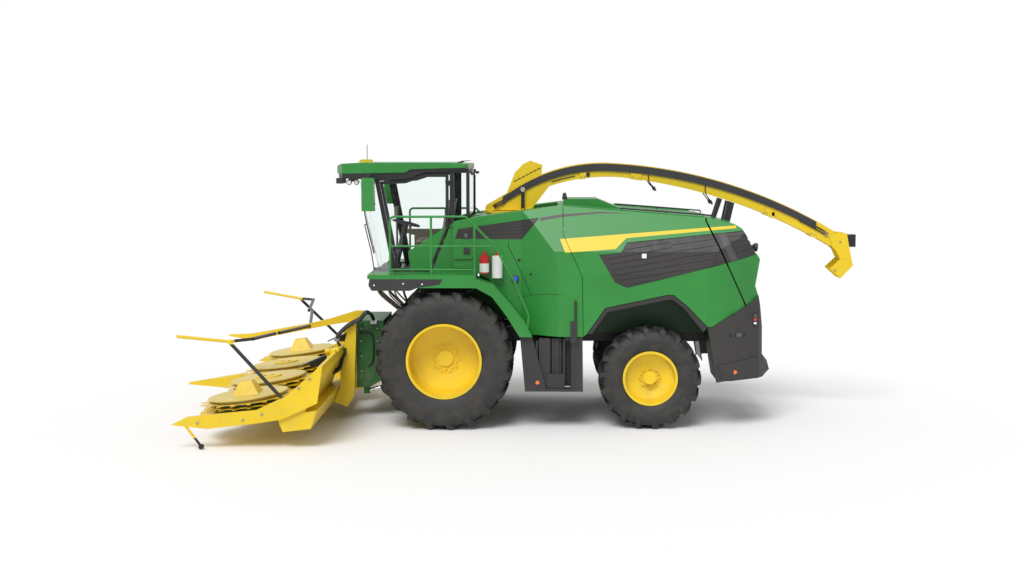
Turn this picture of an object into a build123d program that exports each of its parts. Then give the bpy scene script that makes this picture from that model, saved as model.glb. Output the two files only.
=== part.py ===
from build123d import *
import math
import os

os.makedirs("parts", exist_ok=True)

# Frame of the whole machine, in millimetres: it faces -X, its left side faces -Y, the ground is Z = 0

# Wheels and axles
FRONT_AXLE_X = -1070
WHEELBASE = 3020
STANDARD_WHEELBASE = 3020
FRONT_TYRE_R = 1015
FRONT_TYRE_W = 710
FRONT_WHEEL_Y = 1295
FRONT_RIM_R = 533
REAR_TYRE_R = 755
REAR_TYRE_W = 580
REAR_WHEEL_Y = 1210
REAR_RIM_R = 381
RIM_FLANGE = 22
RIM_WALL = 14
LUG_DEPTH = 45
FRONT_LUGS = 20
REAR_LUGS = 18
KINGPIN_Y = 950
KINGPIN_R = 35
SPINDLE_R = 60
FRONT_SPINDLE_R = 90
BEARING_GAP = 0.5
RUN_GAP = 8
REAR_AXLE_X = FRONT_AXLE_X + WHEELBASE
TAIL_SHIFT = WHEELBASE - STANDARD_WHEELBASE

# Chassis
RAIL_IN = 380
RAIL_W = 100
RAIL_BOTTOM = 1180
RAIL_H = 220
RAIL_FRONT = -1500
RAIL_REAR = 3300 + TAIL_SHIFT
RAIL_TOP = RAIL_BOTTOM + RAIL_H
AXLE_TUBE_R = 150
FINAL_DRIVE_R = 260
FINAL_DRIVE_Y = 820
REAR_BEAM_H = 220
REAR_BEAM_W = 200
YOKE_Y = 860

# Hull
SKIN = 40
SEAM = 8
SWING_GAP = 26
WIDE = 6000
HULL_BOTTOM = 500
HINGE_Y = 1080
HINGE_R = 7
HINGE_SLEEVE_R = 13

# Cab
CAB_HALF = 950
CAB_FLOOR_Z = 2220
CAB_FLOOR_T = 60
CAB_WALL = 60
GLASS_T = 8
ROOF_TOP = 3900
PLATFORM_Y = 1560
RAILING_Y = 1535
RAILING_R = 17

# Header
HEADER_TILT = 6.8
ROTOR_X = -3780
ROTOR_Z = 470
ROTOR_PITCH = 1500
ROTOR_R = ROTOR_PITCH / 2 - 50
HEADER_HALF = 2 * ROTOR_PITCH
FOLD_Z = 560
FOLD_GAP = 12
LIFT_X = -1750
LIFT_Z = 1010
CUTTER_R = 400
CUTTER_GAP = 8
LIFT_PIN_X = -2330
LIFT_PIN_Z = 405
BARREL_PIN_X = -1330
BARREL_PIN_Z = 640

# Spout
SPOUT_TURN_X = -172
SPOUT_DECK_Z = 3090
SPOUT_HALF = 180
SPOUT_WALL = 8
SPOUT_HINGE_X = -470
SPOUT_HINGE_Z = 3215
TURNTABLE_R = 400


# Shapes

def prism(points, y0, y1):
    """Side outline given as (x, z) points, from y0 to y1."""
    face = Face(Wire.make_polygon([Vector(x, y0, z) for x, z in points], close=True))
    return Solid.extrude(face, Vector(0, y1 - y0, 0))


def plan(points, z0, z1):
    """Plan outline given as (x, y) points, from z0 to z1."""
    face = Face(Wire.make_polygon([Vector(x, y, z0) for x, y in points], close=True))
    return Solid.extrude(face, Vector(0, 0, z1 - z0))


def cross(points, x0, x1):
    """Cross-section given as (y, z) points, from x0 to x1."""
    face = Face(Wire.make_polygon([Vector(x0, y, z) for y, z in points], close=True))
    return Solid.extrude(face, Vector(x1 - x0, 0, 0))


def box(x0, x1, y0, y1, z0, z1):
    return Solid.make_box(x1 - x0, y1 - y0, z1 - z0, Plane(origin=(x0, y0, z0)))


def rod(start, end, radius):
    a, b = Vector(start), Vector(end)
    return Solid.make_cylinder(radius, (b - a).length, Plane(origin=a, z_dir=b - a))


def across(x, z, radius, y0, y1):
    """Round bar along Y."""
    return rod((x, y0, z), (x, y1, z), radius)


def tube(points, radius, bend):
    """Round bar along a path with bent corners."""
    path = FilletPolyline(*points, radius=bend)
    return sweep(Plane(origin=path @ 0, z_dir=path % 0) * Circle(radius), path=path).solids()[0]


def spun(section):
    """Solid of revolution about the Y axis from (radius, y) points."""
    face = Face(Wire.make_polygon([Vector(r, y, 0) for r, y in section], close=True))
    return Solid.revolve(face, 360, Axis((0, 0, 0), (0, 1, 0)))


def mirrored(shape):
    return shape.mirror(Plane.XZ)


def both(*shapes):
    """The shapes and their mirror images on the other side of the machine."""
    return list(shapes) + [mirrored(s) for s in shapes]


def joined(first, *others):
    result = first
    for other in others:
        result = result + other
    return result


def inset(points, distance):
    """A closed outline with each edge moved inwards by the distance."""
    area = sum(p[0] * q[1] - q[0] * p[1] for p, q in zip(points, points[1:] + points[:1]))
    turn = 1 if area > 0 else -1
    edges = []
    for p, q in zip(points, points[1:] + points[:1]):
        length = math.hypot(q[0] - p[0], q[1] - p[1])
        ux, uy = (q[0] - p[0]) / length, (q[1] - p[1]) / length
        edges.append((p[0] - uy * turn * distance, p[1] + ux * turn * distance, ux, uy))
    result = []
    for (ax, ay, aux, auy), (bx, by, bux, buy) in zip(edges[-1:] + edges[:-1], edges):
        cross_uv = aux * buy - auy * bux
        s = ((bx - ax) * buy - (by - ay) * bux) / cross_uv
        result.append((ax + aux * s, ay + auy * s))
    return result


def between(p, q, share):
    return (p[0] + (q[0] - p[0]) * share, p[1] + (q[1] - p[1]) * share)


def aft(points):
    """Points of the tail, which keep their distance behind the rear axle when the wheelbase changes."""
    return [(x + TAIL_SHIFT, other) for x, other in points]


NODES = {}


def keep(name, *shapes):
    """Record the solids of one named piece."""
    solids = []
    for shape in shapes:
        solids += shape.solids()
    NODES[name] = solids


# Wheels

def ring(apothem, y, facets, turn):
    """Regular outline round the Y axis whose flats lie at the apothem."""
    corner = apothem / math.cos(math.pi / facets)
    angles = [(k + 0.5 + turn) * 2 * math.pi / facets - math.pi / 2 for k in range(facets)]
    return Wire.make_polygon([Vector(corner * math.cos(a), y, corner * math.sin(a)) for a in angles],
                             close=True)


def lug(angle, low, high, slant, thickness, y0, y1):
    """Slanted tread bar on one flat of the tyre, from the middle out to the shoulder."""
    ux, uz = math.cos(angle), math.sin(angle)
    outline = [(slant / 2 - thickness / 2, y0), (slant / 2 + thickness / 2, y0),
               (-slant / 2 + thickness * 0.6, y1), (-slant / 2 - thickness * 0.6, y1)]
    foot = [Vector(ux * low - uz * t, y, uz * low + ux * t) for t, y in outline]
    return Solid.extrude(Face(Wire.make_polygon(foot, close=True)),
                         Vector(ux * (high - low), 0, uz * (high - low)))


def tyre(radius, width, rim_radius, lugs):
    """Tyre with one flat for each lug; the lugs of the two halves are staggered."""
    half = width / 2
    bead = half * 0.80
    body = radius - LUG_DEPTH
    wall = (radius + rim_radius) / 2
    pitch = 2 * body * math.tan(math.pi / lugs)
    halves = []
    for sign, turn in ((1, 0), (-1, 0.5)):
        shell = Solid.make_loft([ring(body, 0, lugs, turn), ring(body, sign * half * 0.80, lugs, turn),
                                 ring(wall, sign * half, lugs, turn)], True)
        bars = [lug((k + turn) * 2 * math.pi / lugs - math.pi / 2, body - 0.7 * (body - wall), radius,
                    pitch * 0.42, pitch * 0.26, sign * half * 0.05, sign * half * 0.93) for k in range(lugs)]
        dish = Solid.make_loft([ring(rim_radius + RIM_FLANGE, sign * bead, lugs, turn),
                                ring(wall - 12, sign * half, lugs, turn)], True)
        halves.append(shell + bars - dish)
    bore = Solid.make_loft([ring(rim_radius, -width, lugs, 0), ring(rim_radius, width, lugs, 0)], True)
    return joined(*halves) - bore


def rim(rim_radius, bead, disc_y, hub_r, hub_in, bore_r, bore_depth, cap_out, cap_r, studs):
    """Wheel with its disc; y runs outwards and the hub is bored for its spindle."""
    flange = rim_radius + RIM_FLANGE
    inner = rim_radius - RIM_WALL
    barrel = [
        (inner, -bead - RIM_WALL), (flange, -bead - RIM_WALL), (flange, -bead), (rim_radius, -bead),
        (rim_radius, bead), (flange, bead), (flange, bead + RIM_WALL), (inner, bead + RIM_WALL),
    ]
    disc = [
        (0, disc_y - 14), (hub_r * 1.35, disc_y - 14), (inner - 40, disc_y + 30), (inner, disc_y + 30),
        (inner, disc_y + 48), (inner - 50, disc_y + 48), (hub_r * 1.3, disc_y + 4), (0, disc_y + 4),
    ]
    body = joined(spun(barrel), spun(disc), rod((0, hub_in, 0), (0, cap_out, 0), cap_r),
                  rod((0, hub_in, 0), (0, disc_y, 0), hub_r))
    body = body - rod((0, hub_in - 1, 0), (0, bore_depth, 0), bore_r)
    for i in range(studs):
        a = 2 * math.pi * i / studs
        x, z = hub_r * math.cos(a), hub_r * math.sin(a)
        body = body + rod((x, disc_y, z), (x, disc_y + 32, z), 17)
    return body


FRONT_BEAD = FRONT_TYRE_W / 2 * 0.80
REAR_BEAD = REAR_TYRE_W / 2 * 0.80
FRONT_HUB_IN = 1060 - FRONT_WHEEL_Y
REAR_HUB_IN = 1180 - REAR_WHEEL_Y

front_tyre = tyre(FRONT_TYRE_R, FRONT_TYRE_W, FRONT_RIM_R, FRONT_LUGS)
rear_tyre = tyre(REAR_TYRE_R, REAR_TYRE_W, REAR_RIM_R, REAR_LUGS)
front_rim = rim(FRONT_RIM_R, FRONT_BEAD, -105, 195, FRONT_HUB_IN, FRONT_SPINDLE_R + BEARING_GAP,
                FRONT_HUB_IN + 100, -70, 120, 10)
rear_rim = rim(REAR_RIM_R, REAR_BEAD, 70, 150, REAR_HUB_IN, SPINDLE_R + BEARING_GAP,
               REAR_HUB_IN + 120, 165, 95, 8)

for side_name, side in (("left", -1), ("right", 1)):
    for name, shape, x, y, z in (
        ("front_tyre_", front_tyre, FRONT_AXLE_X, FRONT_WHEEL_Y, FRONT_TYRE_R),
        ("front_rim_", front_rim, FRONT_AXLE_X, FRONT_WHEEL_Y, FRONT_TYRE_R),
        ("rear_tyre_", rear_tyre, REAR_AXLE_X, REAR_WHEEL_Y, REAR_TYRE_R),
        ("rear_rim_", rear_rim, REAR_AXLE_X, REAR_WHEEL_Y, REAR_TYRE_R),
    ):
        placed = shape.moved(Location((x, y, z)))
        keep(name + side_name, placed if side > 0 else mirrored(placed))

# Axles

front_axle = joined(
    rod((FRONT_AXLE_X, -FINAL_DRIVE_Y, FRONT_TYRE_R), (FRONT_AXLE_X, FINAL_DRIVE_Y, FRONT_TYRE_R),
        AXLE_TUBE_R),
    *both(
        across(FRONT_AXLE_X, FRONT_TYRE_R, FINAL_DRIVE_R, FINAL_DRIVE_Y, 1050),
        across(FRONT_AXLE_X, FRONT_TYRE_R, FRONT_SPINDLE_R, 1040, 1050 + 100),
        box(FRONT_AXLE_X - 130, FRONT_AXLE_X + 130, RAIL_IN, RAIL_IN + RAIL_W, FRONT_TYRE_R, RAIL_BOTTOM),
    ))
keep("front_axle", front_axle)

rear_axle = box(REAR_AXLE_X - REAR_BEAM_W / 2, REAR_AXLE_X + REAR_BEAM_W / 2, -YOKE_Y, YOKE_Y,
                REAR_TYRE_R - REAR_BEAM_H / 2, REAR_TYRE_R + REAR_BEAM_H / 2)
yoke_z = 120
yoke_t = 36
for s in (-1, 1):
    for z0 in (REAR_TYRE_R + yoke_z, REAR_TYRE_R - yoke_z - yoke_t):
        arm = joined(rod((REAR_AXLE_X, s * KINGPIN_Y, z0), (REAR_AXLE_X, s * KINGPIN_Y, z0 + yoke_t), 90),
                     box(REAR_AXLE_X - 90, REAR_AXLE_X + 90, min(s * 780, s * KINGPIN_Y),
                         max(s * 780, s * KINGPIN_Y),
                         z0, z0 + yoke_t))
        rear_axle = rear_axle + arm
    rear_axle = rear_axle + box(REAR_AXLE_X - 90, REAR_AXLE_X + 90, min(s * 780, s * YOKE_Y),
                                max(s * 780, s * YOKE_Y),
                                REAR_TYRE_R - yoke_z - yoke_t, REAR_TYRE_R + yoke_z + yoke_t)
    rear_axle = rear_axle - rod((REAR_AXLE_X, s * KINGPIN_Y, 0), (REAR_AXLE_X, s * KINGPIN_Y, 2000),
                                KINGPIN_R + BEARING_GAP)
pivot_block = box(REAR_AXLE_X - 90, REAR_AXLE_X + 90, -RAIL_IN, RAIL_IN, REAR_TYRE_R + REAR_BEAM_H / 2,
                  RAIL_BOTTOM)
pivot_block = joined(pivot_block, *both(box(REAR_AXLE_X - 90, REAR_AXLE_X + 90, RAIL_IN - 1, RAIL_IN + RAIL_W,
                                            RAIL_BOTTOM - 80, RAIL_BOTTOM)))
keep("rear_axle", rear_axle + pivot_block)

knuckle = joined(
    rod((REAR_AXLE_X, KINGPIN_Y, REAR_TYRE_R - yoke_z + RUN_GAP),
        (REAR_AXLE_X, KINGPIN_Y, REAR_TYRE_R + yoke_z - RUN_GAP), 62),
    rod((REAR_AXLE_X, KINGPIN_Y, REAR_TYRE_R - yoke_z - yoke_t),
        (REAR_AXLE_X, KINGPIN_Y, REAR_TYRE_R + yoke_z + yoke_t), KINGPIN_R),
    across(REAR_AXLE_X, REAR_TYRE_R, SPINDLE_R, KINGPIN_Y, REAR_WHEEL_Y + REAR_HUB_IN + 110),
    across(REAR_AXLE_X, REAR_TYRE_R, 100, KINGPIN_Y + 60, REAR_WHEEL_Y + REAR_HUB_IN - RUN_GAP))
keep("knuckle_left", mirrored(knuckle))
keep("knuckle_right", knuckle)

# Chassis with crop path

rails = both(box(RAIL_FRONT, RAIL_REAR, RAIL_IN, RAIL_IN + RAIL_W, RAIL_BOTTOM, RAIL_TOP))
cross_members = [box(x, x + 120, -RAIL_IN, RAIL_IN, RAIL_BOTTOM + 30, RAIL_TOP - 20)
                 for x in (400, 1500 + TAIL_SHIFT, 2700 + TAIL_SHIFT, RAIL_REAR - 120)]
FRAME_W = 70
FRONT_FRAME_X = 700 + TAIL_SHIFT
REAR_FRAME_X = 2890 + TAIL_SHIFT
POST_Y = 1000
CAB_POST_XS = (-1500, -950)
outriggers = []
for x, reach in ((FRONT_FRAME_X, 1460), (REAR_FRAME_X, 1380)):
    outriggers += both(box(x, x + FRAME_W, RAIL_IN + RAIL_W, reach, RAIL_TOP - 90, RAIL_TOP - 20))
cab_posts = []
for x in CAB_POST_XS:
    cab_posts += both(box(x, x + FRAME_W, RAIL_IN + 10, RAIL_IN + 80, RAIL_TOP, CAB_FLOOR_Z))
cab_posts += both(box(CAB_POST_XS[0], CAB_POST_XS[0] + FRAME_W, RAIL_IN + 80, 1250, CAB_FLOOR_Z - 60,
                      CAB_FLOOR_Z))

HOUSING_HALF = RAIL_IN
cutter_housing = joined(
    across(LIFT_X, LIFT_Z, CUTTER_R, -HOUSING_HALF, HOUSING_HALF),
    prism([(LIFT_X, LIFT_Z - CUTTER_R), (-1330, 640), (-1250, 800), (-1250, 1250), (-1450, 1500),
           (LIFT_X, LIFT_Z + CUTTER_R)],
          -HOUSING_HALF, HOUSING_HALF),
    *both(across(LIFT_X, LIFT_Z, 60, HOUSING_HALF, HOUSING_HALF + 70),
          box(BARREL_PIN_X - 60, BARREL_PIN_X + 60, HOUSING_HALF, 455, 560, 860),
          across(BARREL_PIN_X, BARREL_PIN_Z, 25, 450, 545)))
NECK_R = 380
tower = prism([(-1450, 1500), (-1250, 1250), (-1190, 1180), (-900, 1180), (-200, 1500), (100, 1500),
               (185, SPOUT_DECK_Z - SKIN),
               (-530, SPOUT_DECK_Z - SKIN), (-620, 2000), (-1000, 1760)], -HOUSING_HALF + 20,
               HOUSING_HALF - 20)
NECK_TOP = SPOUT_DECK_Z + 30
BORE_R = 290
tower = joined(tower, rod((SPOUT_TURN_X, 0, SPOUT_DECK_Z - SKIN - 200), (SPOUT_TURN_X, 0, NECK_TOP),
                          NECK_R - 50))
tower = tower - rod((SPOUT_TURN_X, 0, SPOUT_DECK_Z - 500), (SPOUT_TURN_X, 0, NECK_TOP + 1), BORE_R)
NECK_OUT = NECK_R - 50
keep("cutter_housing", cutter_housing)
keep("crop_tower", tower)

# Engine

keep("engine_block", box(750 + TAIL_SHIFT, 1850 + TAIL_SHIFT, -560, 560, RAIL_TOP, 2500))

# Hull: one shell cut from three outlines, then split where the real panels meet

DECK_FRONT = -700
HULL_TOP = [(663, 3270), (1200, 3225), (2814, 3098), (3187, 3005), (3280, 2946), (3567, 2490),
            (3496, 2102), (3545, 1960),
            (3447, 1869), (2832, 1522)]
HULL_ARCH = [(2776, 1522), (2468, 1838), (2278, 1993), (2177, 1993), (1281, 1801), (1016, 1419), (960, 1374)]
HULL_SIDE = [(-950, 2280), (-950, 3040), (-549, 3118), *aft(HULL_TOP), *aft(HULL_ARCH), (217, 1378),
             (101, 1613),
             (-108, 1873), (-340, 2133), (-600, 2280)]
PLAN_RIGHT = [(-950, 1130), (50, 1150), *aft([(600, 1500), (2750, 1500), (3250, 1360), (3620, 1120)])]
HULL_PLAN = PLAN_RIGHT + [(x, -y) for x, y in reversed(PLAN_RIGHT)]
HULL_CROSS = [
    (-1000, 3500), (-1300, 2950), (-1460, 2620), (-1500, 2300), (-1500, 1300), (-1460, HULL_BOTTOM),
    (1460, HULL_BOTTOM), (1500, 1300), (1500, 2300), (1460, 2620), (1300, 2950), (1000, 3500),
]


def hull(distance, side=None):
    """Closed hull volume, its skin moved inwards by the distance."""
    outline = prism(side or HULL_SIDE, -WIDE, WIDE)
    outline_plan = inset(HULL_PLAN, distance)
    if side:
        outline_plan = [(-1200, outline_plan[0][1])] + outline_plan[1:-1] + [(-1200, outline_plan[-1][1])]
    footprint = plan(outline_plan, 0, WIDE + 1000)
    section = cross(inset(HULL_CROSS, distance), -WIDE, WIDE)
    return outline & footprint & section


def hull_hollow(distance):
    """Hull volume whose sides, top and tail are moved inwards, open below and in front."""
    top = inset(HULL_SIDE, distance)
    side = [(-1100, 1000), (-1100, top[1][1])] + top[1:10] + [(top[9][0], 1000)]
    return hull(distance, side)


hull_shell = hull(0) - hull_hollow(SKIN)
grille_layer = hull_hollow(10) - hull_hollow(28)

DECK_END = 3190 + TAIL_SHIFT
front_seam = aft([(663, 3400), (663, 2867), (942, 2258), (960, 1374), (960, 1000)])
rear_seam = aft([(2771, 3400), (2771, 3057), (3382, 1773), (3382, 1000)])
front_region = prism([(-1200, 1000), (-1200, 3400)] + front_seam, -WIDE, WIDE)
rear_region = prism(rear_seam + [(WIDE, 1000), (WIDE, 3400)], -WIDE, WIDE)
front_region_seamed = prism([(-1200, 1000), (-1200, 3400)] + [(x + SEAM, z) for x, z in front_seam],
                            -WIDE, WIDE)
rear_region_seamed = prism([(x - SWING_GAP, z) for x, z in rear_seam] + [(WIDE, 1000), (WIDE, 3400)],
                           -WIDE, WIDE)
centre_region = box(-WIDE, WIDE, -HINGE_Y, HINGE_Y, 2600, WIDE)
centre_region_seamed = box(-WIDE, WIDE, -HINGE_Y - 2 * SEAM, HINGE_Y + 2 * SEAM, 2600, WIDE)

deck = hull_shell & centre_region & box(DECK_FRONT, DECK_END, -WIDE, WIDE, 2900, WIDE)
RECESS_HALF = 700
RECESS_REAR = 600
RECESS_TOP = SPOUT_DECK_Z + 150
recess = box(DECK_FRONT, RECESS_REAR, -RECESS_HALF, RECESS_HALF, 2900, WIDE)
recess_box = joined(
    box(DECK_FRONT, RECESS_REAR + 10, -RECESS_HALF - 10, RECESS_HALF + 10, SPOUT_DECK_Z - SKIN, SPOUT_DECK_Z),
    box(RECESS_REAR, RECESS_REAR + 10, -RECESS_HALF, RECESS_HALF, SPOUT_DECK_Z, RECESS_TOP),
    *both(box(DECK_FRONT, RECESS_REAR + 10, RECESS_HALF, RECESS_HALF + 10, SPOUT_DECK_Z, RECESS_TOP)))
recess_box = recess_box & prism([(-1200, 3000), (-1200, 3080), (-549, 3118),
                                 *aft([(663, 3270), (663, 3000)])], -WIDE, WIDE)
recess_box = recess_box - rod((SPOUT_TURN_X, 0, 3000), (SPOUT_TURN_X, 0, 3300), NECK_OUT + 0.3)
hump = prism([(686, 3200), (686, 3350), (1195, 3350), (1555, 3205), (1555, 3150)], -420, 420)
deck = joined(deck - recess, recess_box, hump - hull(0))

FRONT_GRILLE = [(-932, 2781), (-880, 2930), (315, 3099), (63, 2776)]
MAIN_GRILLE = aft([(1186, 2571), (1508, 2605), (1595, 2749), (3276, 2918), (3555, 2575), (1600, 2093),
                   (1423, 2170)])
front_cut = prism(FRONT_GRILLE, -WIDE, WIDE)
main_cut = prism(MAIN_GRILLE, -WIDE, WIDE)

# Louvres: each row of slats fans out between an upper and a lower line, given as its two ends


def slats(upper, lower, rows, share):
    """Strips across the whole width, each filling a share of its row."""
    strips = []
    for i in range(rows):
        a, b = i / rows, (i + share) / rows
        corners = [between(upper[0], lower[0], a), between(upper[1], lower[1], a),
                   between(upper[1], lower[1], b), between(upper[0], lower[0], b)]
        strips.append(prism(corners, -WIDE, WIDE))
    return strips


LOUVRES = (
    (aft([(1600, 2715), (2195, 2790)]), aft([(1560, 2640), (2212, 2748)]), 1, 0.85),
    (aft([(1262, 2572), (2215, 2748)]), aft([(1530, 2115), (2440, 2262)]), 6, 0.80),
    (aft([(2232, 2756), (2840, 2836)]), aft([(2410, 2290), (2960, 2380)]), 5, 0.40),
    (aft([(2874, 2827), (3006, 2858)]), aft([(3048, 2462), (3204, 2500)]), 1, 1.0),
    (aft([(3030, 2866), (3300, 2900)]), aft([(3225, 2512), (3545, 2585)]), 5, 0.50),
)
FRONT_LOUVRES = ([(-870, 2905), (290, 3080)], [(-910, 2800), (80, 2800)], 5, 0.60)
slat_layer = hull_hollow(2) - hull_hollow(11)
main_slats = [strip & slat_layer & main_cut for rows in LOUVRES for strip in slats(*rows)]
front_slats = [strip & slat_layer & front_cut for strip in slats(*FRONT_LOUVRES)]

sides = hull_shell - centre_region
front_sides = (sides & front_region) - front_cut
keep("front_side_panels", front_sides)
rear_cowl = ((hull_shell & rear_region) - centre_region) - main_cut
rear_cap = (hull_shell & box(DECK_END, WIDE, -WIDE, WIDE, 1000, WIDE)) & centre_region
keep("rear_cowl", joined(rear_cowl, rear_cap - main_cut))

main_grille = (grille_layer & main_cut) + main_slats
front_grille = (grille_layer & front_cut) + front_slats
panels = (hull_shell - front_region_seamed - rear_region_seamed - centre_region_seamed) - main_cut
service_panels = {}
for side_name, side in (("left", -1), ("right", 1)):
    half = box(-WIDE, WIDE, min(0, side * WIDE), max(0, side * WIDE), 0, WIDE)
    service_panels[side_name] = panels & half
    keep("service_grille_" + side_name, ((main_grille - rear_region_seamed) - rear_region) & half)
keep("hull_grilles", front_grille & front_region, main_grille & rear_region)

# Posts that carry the deck, and the tow hitch, belong to the chassis frame

posts = []
for x in (FRONT_FRAME_X, REAR_FRAME_X):
    posts += both(box(x, x + FRAME_W, POST_Y, POST_Y + FRAME_W, RAIL_TOP - 20, WIDE) & hull_hollow(SKIN))
HITCH_X = 3750 + TAIL_SHIFT
HITCH_PIN_R = 20
hitch_beam = box(RAIL_REAR - 100, RAIL_REAR, -250, 250, 590, RAIL_BOTTOM + 30)
hitch_pin = rod((HITCH_X, 0, 500), (HITCH_X, 0, 800), HITCH_PIN_R)
hitch_plates = [box(RAIL_REAR, HITCH_X + 50, -60, 60, z, z + 30) - hitch_pin for z in (590, 690)]
keep("chassis_frame", *rails, *cross_members, *outriggers, *cab_posts, *posts, hitch_beam, *hitch_plates)

# Inner mudguards over the rear wheels

ARCH_LINE = aft([(2800, 1524), (2480, 1852), (2290, 2010), (2172, 2010), (1272, 1816), (1000, 1410),
                 (770, 1330)])
ARCH_T = 10
ARCH_IN = 600
ARCH_OUT = 1410
arch = ARCH_LINE + [(x, z + ARCH_T) for x, z in reversed(ARCH_LINE)]
arch_tail = aft([(2925, 720), (2792, 1524), (2804, 1534), (2937, 720)])
arch_wall = aft([(2826, 1330)]) + ARCH_LINE
LIP_OUTER = aft([(2768, 1516), (2462, 1830), (2275, 1984), (2180, 1984), (1287, 1793), (1026, 1419)])
LIP_INNER = aft([(2710, 1450), (2429, 1795), (2262, 1925), (2187, 1925), (1310, 1737), (1090, 1419)])
lip = prism(LIP_OUTER + LIP_INNER[::-1], ARCH_OUT - 30, 1496)
lip_link = prism(ARCH_LINE[:-1] + LIP_OUTER[::-1], ARCH_OUT - 30, ARCH_OUT)
liner = joined(prism(arch, ARCH_IN, ARCH_OUT) - box(700 + TAIL_SHIFT, 980 + TAIL_SHIFT, 1290, 1500, 1000,
                                                    1450),
               prism(arch_tail, ARCH_IN, ARCH_OUT), prism(arch_wall, ARCH_IN, ARCH_IN + 12), lip_link, lip)

# Front fenders, walkways and their black edge

EDGE_BLACK = [(-2165, 2130), (-2150, 2220), (-1080, 2220), (-1130, 2140), (-1440, 2095), (-1560, 2050),
              (-2120, 2050)]
FENDER = [(-1429, 2091), (-1429, 2220), (-600, 2220), (-340, 2133), (-108, 1873), (101, 1613),
          (217, 1378), (36, 1377),
          (-161, 1691), (-367, 1964), (-600, 2093)]
edge = prism(EDGE_BLACK, 1250, PLATFORM_Y)
fender = prism(FENDER, 960, PLATFORM_Y) - edge
walkway = box(-2180, -600, CAB_HALF, PLATFORM_Y, CAB_FLOOR_Z, CAB_FLOOR_Z + CAB_FLOOR_T)
front_fender = joined(fender, walkway)
keep("fenders", *both(front_fender, liner))

# Skirts, boxes and steps between the wheels

SKIRT_IN = 1300
SKIRT_OUT = 1480
front_skirt = prism([(40, 1376), (217, 1376), (427, 580), (113, 580)], SKIRT_IN, SKIRT_OUT)
rear_skirt = prism(aft([(800, 1366), (955, 1366), (965, 562), (800, 562)]), SKIRT_IN, SKIRT_OUT)
sill = box(113, 960 + TAIL_SHIFT, SKIRT_IN, SKIRT_OUT, 562, 600)
side_box = box(300, 860 + TAIL_SHIFT, RAIL_IN + RAIL_W, SKIRT_IN, 620, 1300)
SIDE_PANELS = ((270, 300, 1440, 1300), (319, 483, 1420, 1340), (506, 646, 1390, 1340), (440, 694, 1445, 822),
               (560, 600, 1420, 1340), (668, 700, 1420, 1340))
covers = [box(x0, x1, SKIRT_IN - 1, y, 599, top) for x0, x1, y, top in SIDE_PANELS]
DUCT_X = 824 + TAIL_SHIFT
duct = joined(rod((DUCT_X, 1442, 599), (DUCT_X, 1442, 1366), 48),
              box(DUCT_X - 48, DUCT_X + 48, 1442, 1538, 1290, 1340),
              box(DUCT_X - 48, DUCT_X + 48, 1504, 1538, 1290, 1600),
              rod((DUCT_X + 26, 1521, 1590), (DUCT_X + 26, 1521, 1905), 16))
keep("side_skirts", *both(joined(front_skirt, rear_skirt, sill, side_box, *covers, duct), edge))

# Rear bumper

BUMPER_SIDE = aft([(3447, 1869), (3545, 1960), (3578, 1807), (3617, 1492), (3624, 1079), (3718, 965),
                   (3764, 829), (3642, 736),
               (3052, 721), (2916, 701), (2776, 1514), (2832, 1514)])
BUMPER_RIGHT = aft([(2700, 1478), (3150, 1440), (3560, 1200), (3764, 900)])
BUMPER_PLAN = BUMPER_RIGHT + [(x, -y) for x, y in reversed(BUMPER_RIGHT)]
BUMPER_OPEN_X = 2000 + TAIL_SHIFT
BUMPER_T = 36
bumper_wall = plan(BUMPER_PLAN, 0, WIDE) - plan(inset([(BUMPER_OPEN_X,
                                                        1478)] + BUMPER_PLAN[1:-1] + [(BUMPER_OPEN_X,
                                                                                       -1478)], BUMPER_T),
0, WIDE)
bumper = (prism(BUMPER_SIDE, -WIDE, WIDE) & bumper_wall) - hull(0)
BUMPER_LIP = aft([(2930, 960), (3560, 1056), (3690, 965), (3764, 829), (3642, 748), (3010, 738)])
bumper_lip = plan(inset(BUMPER_PLAN, -14), 0, WIDE) - plan(inset(BUMPER_PLAN, 6), 0, WIDE)
keep("rear_bumper", joined(bumper, bumper_lip & prism(BUMPER_LIP, -WIDE, WIDE)))

# Cab

FLOOR_TOP = CAB_FLOOR_Z + 38
CAB_REAR = -720
CAB_FRONT = -2180


def pillar_x(z):
    """Rear edge of the leaning front pillar."""
    return -1807 - 0.189 * (z - 2238)


PILLAR_TOP = 3640
PILLAR_W = 60
PILLAR_LAP = 15
cab_floor = joined(box(CAB_FRONT, CAB_REAR, -CAB_HALF, CAB_HALF, CAB_FLOOR_Z, FLOOR_TOP),
                   box(CAB_FRONT - 40, CAB_FRONT, -1000, 1000, 2060, FLOOR_TOP))
front_pillar = prism([(pillar_x(FLOOR_TOP) - PILLAR_W, FLOOR_TOP), (pillar_x(FLOOR_TOP), FLOOR_TOP),
                      (pillar_x(PILLAR_TOP), PILLAR_TOP), (pillar_x(PILLAR_TOP) - PILLAR_W, PILLAR_TOP)],
                     CAB_HALF - CAB_WALL, CAB_HALF)
door_pillar = box(-1015, -950, CAB_HALF - CAB_WALL, CAB_HALF, 2900, 3790)
rear_pillar = box(CAB_REAR - 50, CAB_REAR, CAB_HALF - 50, CAB_HALF, 2900, 3790)
lower_side = prism([(-1295, FLOOR_TOP), (-1015, 2950), (-1015, 3000), (CAB_REAR, 3000),
                    (CAB_REAR, FLOOR_TOP)],
                   CAB_HALF - CAB_WALL, CAB_HALF)
rear_wall = box(CAB_REAR - 40, CAB_REAR, -CAB_HALF, CAB_HALF, FLOOR_TOP, 3000)
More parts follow.
